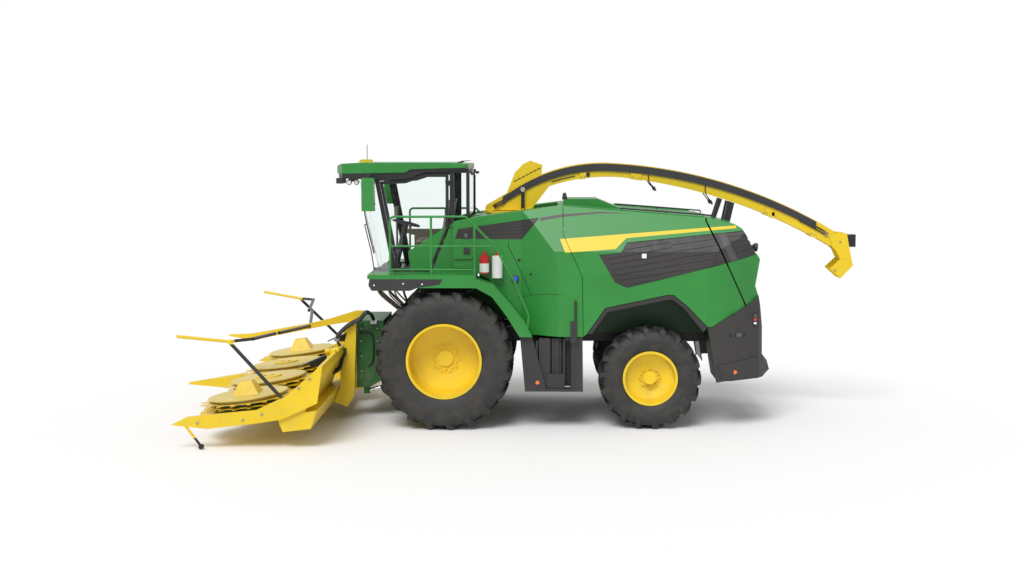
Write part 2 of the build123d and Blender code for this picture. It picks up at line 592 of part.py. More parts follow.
ring_side = prism([(CAB_REAR, 3790), (CAB_REAR, 3750), (-1400, 3750), (-1680, 3658),
                     (pillar_x(PILLAR_TOP - PILLAR_LAP) - PILLAR_W, PILLAR_TOP - PILLAR_LAP),
                   (pillar_x(PILLAR_TOP) - PILLAR_W, 3740), (-1682, 3740), (-1560, 3790)],
                   CAB_HALF - CAB_WALL, CAB_HALF)
ring_rear = box(CAB_REAR - 40, CAB_REAR, -CAB_HALF, CAB_HALF, 3750, 3790)
ring_front = box(-2135, -2075, -CAB_HALF, CAB_HALF, 3645, 3740)
cab_frame = joined(cab_floor, rear_wall, ring_rear, ring_front,
                   *both(front_pillar, door_pillar, rear_pillar, lower_side, ring_side))

# Cab door, and the fixed side that mirrors it

DOOR_BOTTOM = CAB_FLOOR_Z + CAB_FLOOR_T + 10
DOOR_FRONT_GAP = 8
DOOR = [(pillar_x(DOOR_BOTTOM) + DOOR_FRONT_GAP, DOOR_BOTTOM), (-1310, DOOR_BOTTOM), (-1032, 2960),
        (-1032, 3735), (-1400, 3735),
        (-1680, 3640), (pillar_x(3625) + DOOR_FRONT_GAP, 3625)]
DOOR_RAIL = 45
DOOR_T = 45
DOOR_PANEL = [(-1642, 2578), (-1600, DOOR_BOTTOM), (-1310, DOOR_BOTTOM), (-1032, 2960), (-1072, 2952)]
door_window = inset(DOOR, DOOR_RAIL)
door_y = CAB_HALF - DOOR_T
door_frame = joined(prism(DOOR, door_y, CAB_HALF) - prism(door_window, door_y, CAB_HALF),
                    prism(DOOR_PANEL, door_y, CAB_HALF))
door_glass = prism(door_window, door_y + 18, door_y + 18 + GLASS_T) - prism(DOOR_PANEL, door_y, CAB_HALF)
DOOR_PIN_X = -1023
DOOR_PIN_Y = CAB_HALF + 17
DOOR_PIN_R = 8
door_sleeves, pillar_sleeves = [], []
for z in (2990, 3600):
    pillar_sleeves += [rod((DOOR_PIN_X, DOOR_PIN_Y, z - 40), (DOOR_PIN_X, DOOR_PIN_Y, z + 40), DOOR_PIN_R),
                       rod((DOOR_PIN_X, DOOR_PIN_Y, z - 40), (DOOR_PIN_X, DOOR_PIN_Y, z - 2), 14),
                       box(DOOR_PIN_X + 8, -960, CAB_HALF, CAB_HALF + 20, z - 40, z - 2)]
    sleeve = joined(rod((DOOR_PIN_X, DOOR_PIN_Y, z), (DOOR_PIN_X, DOOR_PIN_Y, z + 40), 14),
                    box(-1080, DOOR_PIN_X, CAB_HALF, CAB_HALF + 20, z, z + 40))
    door_sleeves.append(sleeve - rod((DOOR_PIN_X, DOOR_PIN_Y, z - 50), (DOOR_PIN_X, DOOR_PIN_Y, z + 60),
                                     DOOR_PIN_R + 0.4))
handle = box(-1870, -1750, CAB_HALF - 5, CAB_HALF + 25, 2620, 2650)
door_frame = joined(door_frame, handle, *door_sleeves)
keep("cab_door", mirrored(door_frame))
keep("cab_door_glass", mirrored(door_glass))
FIXED_SIDE = [(pillar_x(FLOOR_TOP), FLOOR_TOP), (-1295, FLOOR_TOP), (-1015, 2950), (-1015, 3750),
              (-1400, 3750), (-1680, 3658),
              (pillar_x(3645), 3645)]
fixed_panel = joined(prism(FIXED_SIDE, door_y, CAB_HALF) - prism(door_window, door_y, CAB_HALF),
                     prism(DOOR_PANEL, door_y, CAB_HALF))
corner_glass = box(-950, CAB_REAR - 50, CAB_HALF - 30, CAB_HALF - 30 + GLASS_T, 3000, 3750)
rear_glass = box(CAB_REAR - 25, CAB_REAR - 25 + GLASS_T, -CAB_HALF + 50, CAB_HALF - 50, 3000, 3750)

SCREEN = [(FLOOR_TOP, -2188), (3085, -2389), (3600, -2463)]


def screen_wire(z, nose, back):
    """Plan outline of the curved windscreen at one height."""
    half = CAB_HALF - CAB_WALL / 2
    edge_x = pillar_x(z) - PILLAR_W
    outer = ThreePointArc((edge_x, -half, z), (nose, 0, z), (edge_x, half, z))
    inner = ThreePointArc((edge_x, half - back, z), (nose + back, 0, z), (edge_x, -half + back, z))
    return Wire([outer.edge(), Line((edge_x, half, z), (edge_x, half - back, z)).edge(), inner.edge(),
                 Line((edge_x, -half + back, z), (edge_x, -half, z)).edge()])


screen = Solid.make_loft([screen_wire(z, nose, GLASS_T * 1.5) for z, nose in SCREEN], True)
keep("cab_glass", screen, prism(door_window, door_y + 18, door_y + 18 + GLASS_T) - prism(DOOR_PANEL,
                                                                                         door_y, CAB_HALF),
     rear_glass, *both(corner_glass))

ROOF_SIDE = [(-2730, 3740), (-2730, 3850), (-2650, 3885), (-2300, ROOF_TOP), (-1000, ROOF_TOP),
             (-740, 3880), (-740, 3830),
             (-1015, 3824), (-1592, 3805), (-1682, 3757)]
ROOF_PLAN = [(-2730, 650), (-2620, 930), (-2000, 1010), (-780, 1000), (-740, 900), (-740, -900),
             (-780, -1000), (-2000, -1010),
             (-2620, -930), (-2730, -650)]
TRIM_SIDE = [(-2700, 3740), (-2690, 3670), (-2103, 3645), (-1666, 3661), (-1381, 3765), (-1015, 3790),
             (-740, 3800), (-740, 3830),
             (-1015, 3824), (-1592, 3805), (-1682, 3757)]
roof_plan = plan(ROOF_PLAN, 3000, WIDE)
keep("cab_roof", prism(ROOF_SIDE, -1010, 1010) & roof_plan)
trim_hollow = prism([(-2135, 3500), (-2135, 3740), (-1682, 3740), (-1560, 3790), (-600, 3790),
                     (-600, 3500)], -CAB_HALF, CAB_HALF)
trim = (prism(TRIM_SIDE, -985, 985) & roof_plan) - trim_hollow
screen_room = box(-2480, -2135, -CAB_HALF, CAB_HALF, 3500, 3700)
cab_frame = joined(cab_frame, fixed_panel, trim - screen_room, *[mirrored(s) for s in pillar_sleeves])
door_sill = prism([(pillar_x(FLOOR_TOP) - 10, FLOOR_TOP - 1), (-1290, FLOOR_TOP - 1),
                   (-1290, DOOR_BOTTOM - 8),
                   (pillar_x(FLOOR_TOP) - 10, DOOR_BOTTOM - 8)], CAB_HALF - CAB_WALL, CAB_HALF)
keep("cab_frame", joined(cab_frame, mirrored(door_sill)))

# Seat, console and steering column in the cab

SEAT_X = -1330
seat_frame = joined(box(SEAT_X - 200, SEAT_X + 200, -200, 200, FLOOR_TOP, FLOOR_TOP + 330),
                             box(SEAT_X - 240, SEAT_X + 240, -240, 240, FLOOR_TOP + 330, FLOOR_TOP + 370),
                             prism([(SEAT_X + 200, FLOOR_TOP + 370), (SEAT_X + 240, FLOOR_TOP + 370),
                                    (SEAT_X + 360, FLOOR_TOP + 1080), (SEAT_X + 320, FLOOR_TOP + 1080)],
                                    -220, 220))
keep("seat_cushions", box(SEAT_X - 260, SEAT_X + 195, -240, 240, FLOOR_TOP + 370.3, FLOOR_TOP + 480),
     prism([(SEAT_X + 116, FLOOR_TOP + 485), (SEAT_X + 218, FLOOR_TOP + 485),
            (SEAT_X + 319, FLOOR_TOP + 1080),
            (SEAT_X + 230, FLOOR_TOP + 1080)], -230, 230))
console = joined(box(SEAT_X - 330, SEAT_X + 150, 300, 520, FLOOR_TOP, FLOOR_TOP + 520),
                               box(SEAT_X - 480, SEAT_X + 100, 290, 420, FLOOR_TOP + 520, FLOOR_TOP + 590),
                               rod((SEAT_X - 400, 355, FLOOR_TOP + 590),
                                   (SEAT_X - 400, 355, FLOOR_TOP + 700), 22))
column_base = (-1930, 0, FLOOR_TOP)
column_top = (-1760, 0, FLOOR_TOP + 700)
column = joined(box(-2010, -1850, -110, 110, FLOOR_TOP, FLOOR_TOP + 90), rod(column_base, column_top, 45))
wheel_plane = Plane(origin=column_top, z_dir=Vector(column_top) - Vector(column_base))
wheel_ring = Solid.make_torus(205, 16, wheel_plane)
spoke = rod(tuple(wheel_plane.from_local_coords((0, -205, 0))),
            tuple(wheel_plane.from_local_coords((0, 205, 0))), 13)
hub_disc = Solid.make_cylinder(60, 24, wheel_plane)
column = joined(column, hub_disc, spoke, wheel_ring) - cab_floor
displays = joined(rod((-1960, 560, FLOOR_TOP), (-1960, 560, FLOOR_TOP + 900), 16),
                            box(-1990, -1950, 430, 690, FLOOR_TOP + 760, FLOOR_TOP + 940))
keep("cab_interior", seat_frame, console, column, displays)

# Mirrors, receiver, antenna and lamps

mirror_parts = both(joined(box(-2260, -2080, 1385, 1515, 3206, 3685) ,
                           tube([(-2170, 1450, 3685), (-2170, 1450, 3715), (-2170, 960, 3715)], 14, 14)))
receiver = prism([(-2480, ROOF_TOP), (-2440, ROOF_TOP + 45), (-2300, ROOF_TOP + 45), (-2270, ROOF_TOP)],
                 -150, 150)
antenna = (joined(rod((-2395, 300, ROOF_TOP - 20), (-2395, 300, 4175), 5),
                  rod((-2395, 300, ROOF_TOP - 20), (-2395, 300, ROOF_TOP + 25), 22)) - NODES["cab_roof"][0])
lamps = []
for y in (-820, -560, 560, 820):
    lamps.append(box(-2700, -2620, y - 65, y + 65, 3590, 3672) - cab_frame)
keep("cab_equipment", receiver, antenna, *[m - cab_frame for m in mirror_parts], *lamps)

# Railings on both walkways

RAIL_FOOT = CAB_FLOOR_Z + CAB_FLOOR_T
handrail = tube([(-1846, RAILING_Y, RAIL_FOOT), (-1846, RAILING_Y, 3126), (-750, RAILING_Y, 3130),
                 (-323, RAILING_Y, 2703),
                 (-25, RAILING_Y, 2153), (169, RAILING_Y, 1691), (150, RAILING_Y, 1510)], RAILING_R, 60)
handrail = joined(handrail,
                  rod((-1846, RAILING_Y, 2700), (-322, RAILING_Y, 2700), RAILING_R * 0.8),
                  rod((-1846, RAILING_Y, 2360), (-620, RAILING_Y, 2360), RAILING_R * 0.7),
                  rod((-1250, RAILING_Y, RAIL_FOOT), (-1250, RAILING_Y, 3128), RAILING_R),
                  rod((-620, RAILING_Y, RAIL_FOOT - 8), (-620, RAILING_Y, 2990), RAILING_R))
handrail = handrail - front_fender
keep("railings", *both(max(handrail.solids(), key=lambda s: s.volume)))

# Fire extinguishers on the left wall

bottles = []
for x, radius, low, high in ((-490, 72, RAIL_FOOT, 2600), (-300, 78, 2215, 2600)):
    centre_y = 1140 + radius + 12
    bottles.append(joined(rod((x, -centre_y, low), (x, -centre_y, high - 60), radius),
                          rod((x, -centre_y, high - 60), (x, -centre_y, high), 28),
                          box(x - 30, x + 30, -centre_y, -1110, low + 60, low + 100)) - front_sides)
keep("fire_extinguishers", *[max(b.solids(), key=lambda s: s.volume) for b in bottles])

# Feeder housing that carries the header and swings about the cutter axis

FEEDER_FRONT = -2475
FEEDER_HALF = 600
FEEDER_TOP = 1500
FEEDER_BOTTOM = 470
THROAT_HALF = 430
CYLINDER_Y = 515
ARM_IN = HOUSING_HALF + 5
ARM_OUT = ARM_IN + 40
feeder = prism([(FEEDER_FRONT, FEEDER_BOTTOM), (FEEDER_FRONT, FEEDER_TOP), (-2060, FEEDER_TOP), (-2060, 600),
                (-2280, FEEDER_BOTTOM)], -FEEDER_HALF, FEEDER_HALF)
feeder = feeder - across(LIFT_X, LIFT_Z, CUTTER_R + CUTTER_GAP, -WIDE, WIDE)
feeder = feeder - box(FEEDER_FRONT - 1, -2170, -THROAT_HALF, THROAT_HALF, 560, 1150)
arm = joined(prism([(-2170, 1380), (-2170, 660), (LIFT_X, LIFT_Z - 100), (LIFT_X, LIFT_Z + 100)], ARM_IN,
                   ARM_OUT),
             across(LIFT_X, LIFT_Z, 110, ARM_IN, ARM_OUT))
arm = arm - across(LIFT_X, LIFT_Z, 60 + BEARING_GAP, 0, WIDE)
PIN_R = 22
LUG_YS = (466, 550)
LUG_T = 14
lift_lugs = [box(LIFT_PIN_X - 45, LIFT_PIN_X + 45, y, y + LUG_T, LIFT_PIN_Z - 40,
                 FEEDER_BOTTOM + 10) for y in LUG_YS]
hook = across(-2420, 1440, 45, -700, 700)
feeder = joined(feeder, *both(arm, *lift_lugs, across(LIFT_PIN_X, LIFT_PIN_Z, PIN_R, LUG_YS[0],
                                                      LUG_YS[1] + LUG_T)))
ROLLS = (("upper", -2320, 985, 130), ("lower", -2320, 720, 100))
for _, x, z, radius in ROLLS:
    feeder = feeder - across(x, z, 30 + BEARING_GAP, -560, 560)
keep("feeder_housing", joined(feeder, hook))
for name, x, z, radius in ROLLS:
    keep("feed_roll_" + name, joined(across(x, z, radius, -425, 425), across(x, z, 30, -550, 550)))

# Header lift cylinders


def cylinder_pair(pin_a, pin_b, y, eye_w, r_pin_a, r_pin_b, r_barrel, r_rod, barrel_end, rod_start, slack,
                  eye_a, eye_b):
    """Barrel hinged at pin_a and rod whose eye lies round pin_b."""
    ax, az = pin_a
    bx, bz = pin_b
    length = math.hypot(bx - ax, bz - az)
    ux, uz = (bx - ax) / length, (bz - az) / length

    def at(s):
        return (ax + ux * s, y, az + uz * s)

    barrel = joined(across(ax, az, eye_a, y - eye_w / 2, y + eye_w / 2),
                    rod(at(eye_a * 0.6), at(barrel_end), r_barrel))
    barrel = barrel - across(ax, az, r_pin_a + BEARING_GAP, y - WIDE, y + WIDE)
    barrel = barrel - rod(at(rod_start - 6), at(barrel_end + 1), r_rod + BEARING_GAP)
    stem = joined(rod(at(rod_start), at(length - eye_b * 0.6), r_rod),
                  across(bx, bz, eye_b, y - eye_w / 2, y + eye_w / 2))
    stem = stem - across(bx, bz, r_pin_b + slack, y - WIDE, y + WIDE)
    return barrel, stem


lift_barrel, lift_rod = cylinder_pair((BARREL_PIN_X, BARREL_PIN_Z), (LIFT_PIN_X, LIFT_PIN_Z), CYLINDER_Y,
                                      50, 25, PIN_R,
                                      50, 30, 640, 320, 6, 55, 46)
keep("lift_cylinder_barrels", *both(lift_barrel))
keep("lift_cylinder_rods", *both(lift_rod))

# Header, in its own frame: rotor row at X = 0, disc plane at Z = 0, later tilted nose down


def tilt(shape):
    return shape.rotate(Axis.Y, -HEADER_TILT).moved(Location((ROTOR_X, 0, ROTOR_Z)))


WING_IN = ROTOR_PITCH + FOLD_GAP / 2
CENTRE_OUT = ROTOR_PITCH - FOLD_GAP / 2
WALL_SIDE = [(762, -60), (980, 346), (1160, 540), (1210, 540), (1210, 440), (1016, 164), (900, -60)]
BEAM_SIDE = [(500, -60), (900, -60), (1064, -60), (950, -300), (560, -300)]


def header_bed(y0, y1):
    """Floor plate, beam and back wall between two planes."""
    return joined(box(-420, 800, y0, y1, -60, -20), prism(BEAM_SIDE, y0, y1), prism(WALL_SIDE, y0, y1))


def gearbox(y):
    """Drive under one rotor with the spindle that carries it."""
    return joined(rod((0, y, -220), (0, y, -60), 210), rod((0, y, -61), (0, y, 80), SPINDLE_R))


def toothed(y, z0, z1, radius, depth, teeth):
    """Disc whose hooked teeth lean into the turning direction."""
    points = []
    for k in range(teeth):
        for share, r in ((0.0, radius), (0.16, radius), (0.34, radius - depth),
                         (0.86, radius - depth * 0.82)):
            a = 2 * math.pi * (k + share) / teeth
            points.append((r * math.cos(a), y + r * math.sin(a)))
    return plan(points, z0, z1)


# Toothed discs of a rotor: bottom, top, radius, depth and number of the teeth
ROTOR_DISCS = ((-10, 4, ROTOR_R, 46, 36), (60, 70, ROTOR_R - 60, 110, 18), (118, 128, ROTOR_R - 20, 130, 18))


def rotor(y, cone):
    """Toothed discs on a drum; the outer rotors carry a peaked cap, the inner ones a slotted hub plate."""
    body = rod((0, y, -10), (0, y, 170), 480)
    for z0, z1, radius, depth, teeth in ROTOR_DISCS:
        body = body + toothed(y, z0, z1, radius, depth, teeth)
    body = body + rod((0, y, 170), (0, y, 186), 560)
    if cone:
        half, top = 180, 90
        low = Wire.make_polygon([Vector(-half, y - half, 186), Vector(half, y - half, 186),
                                 Vector(half, y + half, 186),
                                 Vector(-half, y + half, 186)], close=True)
        high = Wire.make_polygon([Vector(-top, y - top, 372), Vector(top, y - top, 372),
                                  Vector(top, y + top, 372),
                                  Vector(-top, y + top, 372)], close=True)
        body = body + Solid.make_loft([low, high], True)
    else:
        body = body + rod((0, y, 186), (0, y, 205), 200)
        for x in (-95, 20):
            body = body - box(x, x + 75, y - 24, y + 24, 196, 206)
    return body - rod((0, y, -20), (0, y, 90), SPINDLE_R + BEARING_GAP)


THROAT_Z = (-20, 540)
centre = header_bed(-CENTRE_OUT, CENTRE_OUT)
centre = centre - box(700, 1300, -450, 450, THROAT_Z[0] - 39, THROAT_Z[1] + 10)
CHANNEL = [(1440, 832), (1271, -240), (1144, -409), (949, -309), (1070, -100), (1126, 246), (1210, 540),
           (1330, 832)]
centre = joined(centre, *both(prism(CHANNEL, 700, 800), gearbox(ROTOR_PITCH / 2)),
                box(1215, 1290, -700, 700, 700, 800), box(1000, 1080, -700, 700, -360, -290))
FOLD_PIN_R = 20
FOLD_SLEEVE = 42
fold_pin = rod((1040, ROTOR_PITCH, FOLD_Z), (1250, ROTOR_PITCH, FOLD_Z), FOLD_PIN_R)
fold_fixed = joined(fold_pin, rod((1040, ROTOR_PITCH, FOLD_Z), (1110, ROTOR_PITCH, FOLD_Z), FOLD_SLEEVE),
                    box(1050, 1110, ROTOR_PITCH - 120, ROTOR_PITCH, FOLD_Z - 125, FOLD_Z + 20))
fold_room = rod((1020, ROTOR_PITCH, FOLD_Z), (1280, ROTOR_PITCH, FOLD_Z), FOLD_SLEEVE + RUN_GAP)
fold_moving = joined(rod((1120, ROTOR_PITCH, FOLD_Z), (1240, ROTOR_PITCH, FOLD_Z), FOLD_SLEEVE),
                     box(1125, 1205, ROTOR_PITCH, ROTOR_PITCH + 120, FOLD_Z - 60, FOLD_Z + 20))
fold_moving = fold_moving - rod((1000, ROTOR_PITCH, FOLD_Z), (1300, ROTOR_PITCH, FOLD_Z),
                                FOLD_PIN_R + BEARING_GAP)
for s in (1, -1):
    room = fold_room if s > 0 else mirrored(fold_room)
    fixed = fold_fixed if s > 0 else mirrored(fold_fixed)
    centre = (centre - room) + fixed

wing = joined(header_bed(WING_IN, HEADER_HALF - 40), gearbox(ROTOR_PITCH * 1.5)) - fold_room
END_PANEL = [(-944, -20), (-710, 66), (250, 50), (691, 199), (1180, 540), (1227, 540), (1091, 47),
             (578, -117), (272, -130),
             (-455, -129)]
wing = joined(wing, fold_moving, prism(END_PANEL, HEADER_HALF - 40, HEADER_HALF + 10))

snout = prism([(-1423, 105), (-1423, 138), (-566, 175), (-380, 120), (-380, -20), (-420, -20), (-885, 4)],
              -200, 200)
snout = snout & plan([(-1423, -14), (-1423, 14), (-600, 110), (-380, 110), (-380, -110), (-600, -110)],
                     -100, 300)
keep("header_centre_frame", tilt(centre + snout))

for number, (y, cone) in enumerate(((-1.5, True), (-0.5, False), (0.5, False), (1.5, True)), 1):
    keep("rotor_%d" % number, tilt(rotor(y * ROTOR_PITCH, cone)))

BOOM = [(-692, 800), (-692, 815), (-331, 790), (600, 845), (931, 885), (1345, 961), (1460, 946),
        (1460, 905), (1290, 800),
        (1215, 800), (931, 790), (600, 765), (-331, 690)]
boom = prism(BOOM, -45, 45)

BAR_R = 25
BAR_CENTRE = (599, 805)
BAR_BEND = (249, HEADER_HALF - 390, 987)
BAR_JOINT = (-30, HEADER_HALF - 150, 1016)
BAR_TIP = (-684, HEADER_HALF + 50, 1189)
STRUT_FOOT = (640, HEADER_HALF - 15, 140)
LAP = 2 * BAR_R + RUN_GAP
share = CENTRE_OUT / BAR_BEND[1]
bar_mid = (BAR_CENTRE[0] + (BAR_BEND[0] - BAR_CENTRE[0]) * share,
           BAR_CENTRE[1] + (BAR_BEND[2] - BAR_CENTRE[1]) * share)
bar_centre = rod((BAR_CENTRE[0], 0, BAR_CENTRE[1]), (bar_mid[0], CENTRE_OUT, bar_mid[1]),
                 BAR_R) - box(-100, 1000, -45, 45, 700, 1000)
keep("crop_boom", tilt(joined(boom, *both(bar_centre))))
bar_tip = tube([BAR_BEND, BAR_JOINT, BAR_TIP], BAR_R - 3, 60)
bar_arm = joined(rod((bar_mid[0] - LAP, WING_IN, bar_mid[1]), BAR_BEND, BAR_R),
                 rod(BAR_JOINT, STRUT_FOOT, BAR_R)) - bar_tip
arm_pieces = [s for s in bar_arm.solids() if s.volume > 50000]
arm_pieces = [s - wing for s in arm_pieces]
push_bar = tilt(joined(bar_tip, *arm_pieces))
keep("push_bar_right", push_bar)
keep("push_bar_left", mirrored(push_bar))

feeler = joined(rod((-750, HEADER_HALF - 15, -60), (-600, HEADER_HALF - 15, -320), 18),
                across(-575, -368, 34, HEADER_HALF - 45, HEADER_HALF + 10),
                rod((-600, HEADER_HALF - 15, -320), (-575, HEADER_HALF - 15, -368), 18)) - wing
wing = tilt(wing + feeler)
keep("header_wing_right", wing)
keep("header_wing_left", mirrored(wing))

# Spout: turntable, arched duct, two flaps and the lift cylinders

disc_low, disc_high = NECK_TOP + 5, NECK_TOP + 35
TABLE_BORE = 160
TABLE_PARTS = 8


def ring_parts(z0, z1, radius):
    """Ring of the turntable in sectors whose edge at the bore is straight."""
    disc = rod((SPOUT_TURN_X, 0, z0), (SPOUT_TURN_X, 0, z1), radius)
    parts = []
    for k in range(TABLE_PARTS):
        a, b = k * 2 * math.pi / TABLE_PARTS, (k + 1) * 2 * math.pi / TABLE_PARTS
        corners = ((TABLE_BORE, a), (2 * radius, a), (2 * radius, b), (TABLE_BORE, b))
        parts.append(disc & plan([(SPOUT_TURN_X + r * math.cos(t), r * math.sin(t)) for r, t in corners],
                                 z0, z1))
    return parts


SPOUT_PIN_X = 60
SPOUT_BARREL_PIN_Z = disc_high + 34
SPOUT_ROD_PIN_Z = 3490
SPOUT_CYL_Y = 235
SPOUT_PIN_R = 14
cheek = prism([(-515, disc_high), (-515, SPOUT_HINGE_Z), (SPOUT_HINGE_X, SPOUT_HINGE_Z + 45),
               (-420, SPOUT_HINGE_Z),
               (-400, disc_high)], SPOUT_HALF + 8, SPOUT_HALF + 20)
cheek_pin = across(SPOUT_HINGE_X, SPOUT_HINGE_Z, SPOUT_PIN_R, SPOUT_HALF - 14, SPOUT_HALF + 8)
lug = box(SPOUT_PIN_X - 40, SPOUT_PIN_X + 40, SPOUT_HALF + 8, SPOUT_HALF + 24, disc_high,
          SPOUT_BARREL_PIN_Z + 20)
lug_pin = across(SPOUT_PIN_X, SPOUT_BARREL_PIN_Z, SPOUT_PIN_R, SPOUT_HALF + 24, SPOUT_CYL_Y + 20)
keep("spout_turntable", *ring_parts(disc_low, disc_high, TURNTABLE_R),
     *ring_parts(disc_low - 60, disc_low, BORE_R - BEARING_GAP), *both(cheek, cheek_pin, lug, lug_pin))

BASE_Z = disc_high + 10
spout_edges = [
    Line((-505, 0, BASE_Z), (-505, 0, 3240)).edge(),
    Line((-505, 0, 3240), (-110, 0, 3472)).edge(),
    ThreePointArc((-110, 0, 3472), (560, 0, 3790), (1368, 0, 3895)).edge(),
    ThreePointArc((1368, 0, 3895), (3200, 0, 3580), (4844, 0, 2845)).edge(),
    Line((4844, 0, 2845), (4800, 0, 2615)).edge(),
    ThreePointArc((4800, 0, 2615), (3240, 0, 3310), (1600, 0, 3668)).edge(),
    ThreePointArc((1600, 0, 3668), (980, 0, 3655), (462, 0, 3533)).edge(),
    Line((462, 0, 3533), (185, 0, BASE_Z)).edge(),
    Line((185, 0, BASE_Z), (-505, 0, BASE_Z)).edge(),
]
spout_face = Face(Wire(spout_edges))


def spout_band(y0, y1):
    return Solid.extrude(spout_face.moved(Location((0, y0, 0))), Vector(0, y1 - y0, 0))


plate = spout_band(SPOUT_HALF - SPOUT_WALL, SPOUT_HALF)
plate = plate - across(SPOUT_HINGE_X, SPOUT_HINGE_Z, SPOUT_PIN_R + 0.4, 0, WIDE)
FLAP_PIN_X, FLAP_PIN_Z = 4780, 2790
plate = plate - across(FLAP_PIN_X, FLAP_PIN_Z, 12.4, 0, WIDE)
plate = plate + across(SPOUT_PIN_X, SPOUT_ROD_PIN_Z, SPOUT_PIN_R, SPOUT_HALF, SPOUT_CYL_Y + 20)
keep("spout_sides", *both(plate))
core = spout_band(-SPOUT_HALF + SPOUT_WALL, SPOUT_HALF - SPOUT_WALL)
top_plate = max((core - core.moved(Location((0, 0, -10)))).solids(), key=lambda s: s.volume)
hood = prism([(-190, 3420), (-60, 3750), (60, 3870), (168, 3927), (362, 3859), (345, 3700)], -SPOUT_HALF,
             SPOUT_HALF)
hood = max((hood - spout_band(-SPOUT_HALF, SPOUT_HALF)).solids(), key=lambda s: s.volume)
keep("spout_top", joined(top_plate, hood))

guard = spout_band(SPOUT_HALF, SPOUT_HALF + 24)
guard = (guard.moved(Location((0, 0, -14))) - guard.moved(Location((0, 0, -126)))) & box(-250, 4560, 0,
                                                                                         WIDE, 2500, WIDE)
guard = guard - across(SPOUT_PIN_X, SPOUT_ROD_PIN_Z, SPOUT_PIN_R + 4, 0, WIDE)
guard = max(guard.solids(), key=lambda s: s.volume)
keep("spout_hose_guards", *both(guard))

spout_barrel, spout_rod = cylinder_pair((SPOUT_PIN_X, SPOUT_BARREL_PIN_Z), (SPOUT_PIN_X, SPOUT_ROD_PIN_Z),
                                        SPOUT_CYL_Y, 26,
                                        SPOUT_PIN_R, SPOUT_PIN_R, 26, 13, 262, 60, 6, 26, 32)
keep("spout_cylinder_barrels", *both(spout_barrel))
keep("spout_cylinder_rods", *both(spout_rod))

FLAP_A = [(4760, 2780), (4899, 2830), (5032, 2813), (5126, 2358), (4941, 2409), (4870, 2560), (4820, 2600)]
FLAP_B = [(4941, 2430), (4777, 2274), (4947, 2123), (5136, 2326), (5126, 2358)]
flap_gap = 6
FLAP_A_PIN = (FLAP_PIN_X, FLAP_PIN_Z)
FLAP_B_PIN = (5060, 2390)


def flap(points, pin, half, plate_from, plate_to, stub_in):
    """Channel-shaped flap: two cheeks, an outer plate and its hinge stubs."""
    cheeks = prism(points, half, half + 6)
    cheeks = joined(cheeks, across(pin[0], pin[1], 24, half, half + 6),
                    across(pin[0], pin[1], 12, stub_in, half + 6))
    (x0, z0), (x1, z1) = plate_from, plate_to
    length = math.hypot(x1 - x0, z1 - z0)
    nx, nz = (z1 - z0) / length * 8, -(x1 - x0) / length * 8
    outer = prism([(x0, z0), (x1, z1), (x1 + nx, z1 + nz), (x0 + nx, z0 + nz)], -half, half)
    return joined(outer, *both(cheeks))


flap_a = flap(FLAP_A, FLAP_A_PIN, SPOUT_HALF + flap_gap, (5032, 2813), (5126, 2358), SPOUT_HALF - 12)
flap_a = flap_a - across(FLAP_B_PIN[0], FLAP_B_PIN[1], 12.4, -WIDE, WIDE)
flap_b_half = SPOUT_HALF + 2 * flap_gap + 6
flap_b = flap(FLAP_B, FLAP_B_PIN, flap_b_half, (5136, 2326), (4947, 2123), SPOUT_HALF + 2)
keep("spout_flap_outer", flap_b)
camera = joined(box(5085, 5196, -70, 70, 2600, 2790), box(5000, 5100, -30, 30, 2680, 2710))
behind_plate = prism([(5000, 2900), (5000, 2813), (5032, 2813), (5126, 2358), (4900, 2300), (4900, 2900)],
                     -400, 400)
camera = max((camera - behind_plate).solids(), key=lambda s: s.volume)
keep("spout_flap_inner", flap_a + camera)

# Deck with the rest for the stowed spout, and the hinges of the service panels

REST_POSTS = ((aft([(2930, 2900), (2985, 2900), (3156, 3420), (3092, 3420)]), 70, 110),
              (aft([(3120, 2900), (3225, 2900), (3340, 3420), (3226, 3420)]), 90, 165))
rest = []
for points, y0, y1 in REST_POSTS:
    post = prism(points, y0, y1) - hull(0) - spout_band(-400, 400).moved(Location((0, 0, -RUN_GAP)))
    rest += both(min(post.solids(), key=lambda p: p.center().Z))

HINGE_START, HINGE_END = aft([(700, 3271), (2740, 3108)])
HINGE_PARTS = 5
SLEEVE_GAP = 6


def hinge_piece(first, last, radius, trim=0):
    """Stretch of the hinge line from one share of its length to another."""
    length = math.hypot(HINGE_END[0] - HINGE_START[0], HINGE_END[1] - HINGE_START[1])
    (x0, z0), (x1, z1) = [between(HINGE_START, HINGE_END, s) for s in (first + trim / length,
                                                                       last - trim / length)]
    return rod((x0, HINGE_Y + SEAM, z0), (x1, HINGE_Y + SEAM, z1), radius)


deck = joined(deck, *rest)
service_right = service_panels["right"]
for i in range(HINGE_PARTS):
    first, last = i / HINGE_PARTS, (i + 1) / HINGE_PARTS
    room = hinge_piece(first, last, HINGE_SLEEVE_R + 2)
    sleeve = hinge_piece(first, last, HINGE_SLEEVE_R, SLEEVE_GAP / 2)
    if i % 2:
        deck = deck - room - mirrored(room)
        service_right = service_right + sleeve
    else:
        service_right = service_right - room
        deck = joined(deck, *both(sleeve))
service_right = service_right - hinge_piece(0, 1, HINGE_R + BEARING_GAP)
deck = joined(deck, *both(hinge_piece(0, 1, HINGE_R)))
keep("top_deck", deck)
keep("service_panel_right", service_right)
keep("service_panel_left", mirrored(service_right))

# Write one file for each piece

for name, solids in NODES.items():
    shape = solids[0] if len(solids) == 1 else Compound(solids)
    export_step(shape, "parts/" + name + ".step")
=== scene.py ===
import math

import bmesh
import bpy
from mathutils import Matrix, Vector
from mathutils.bvhtree import BVHTree


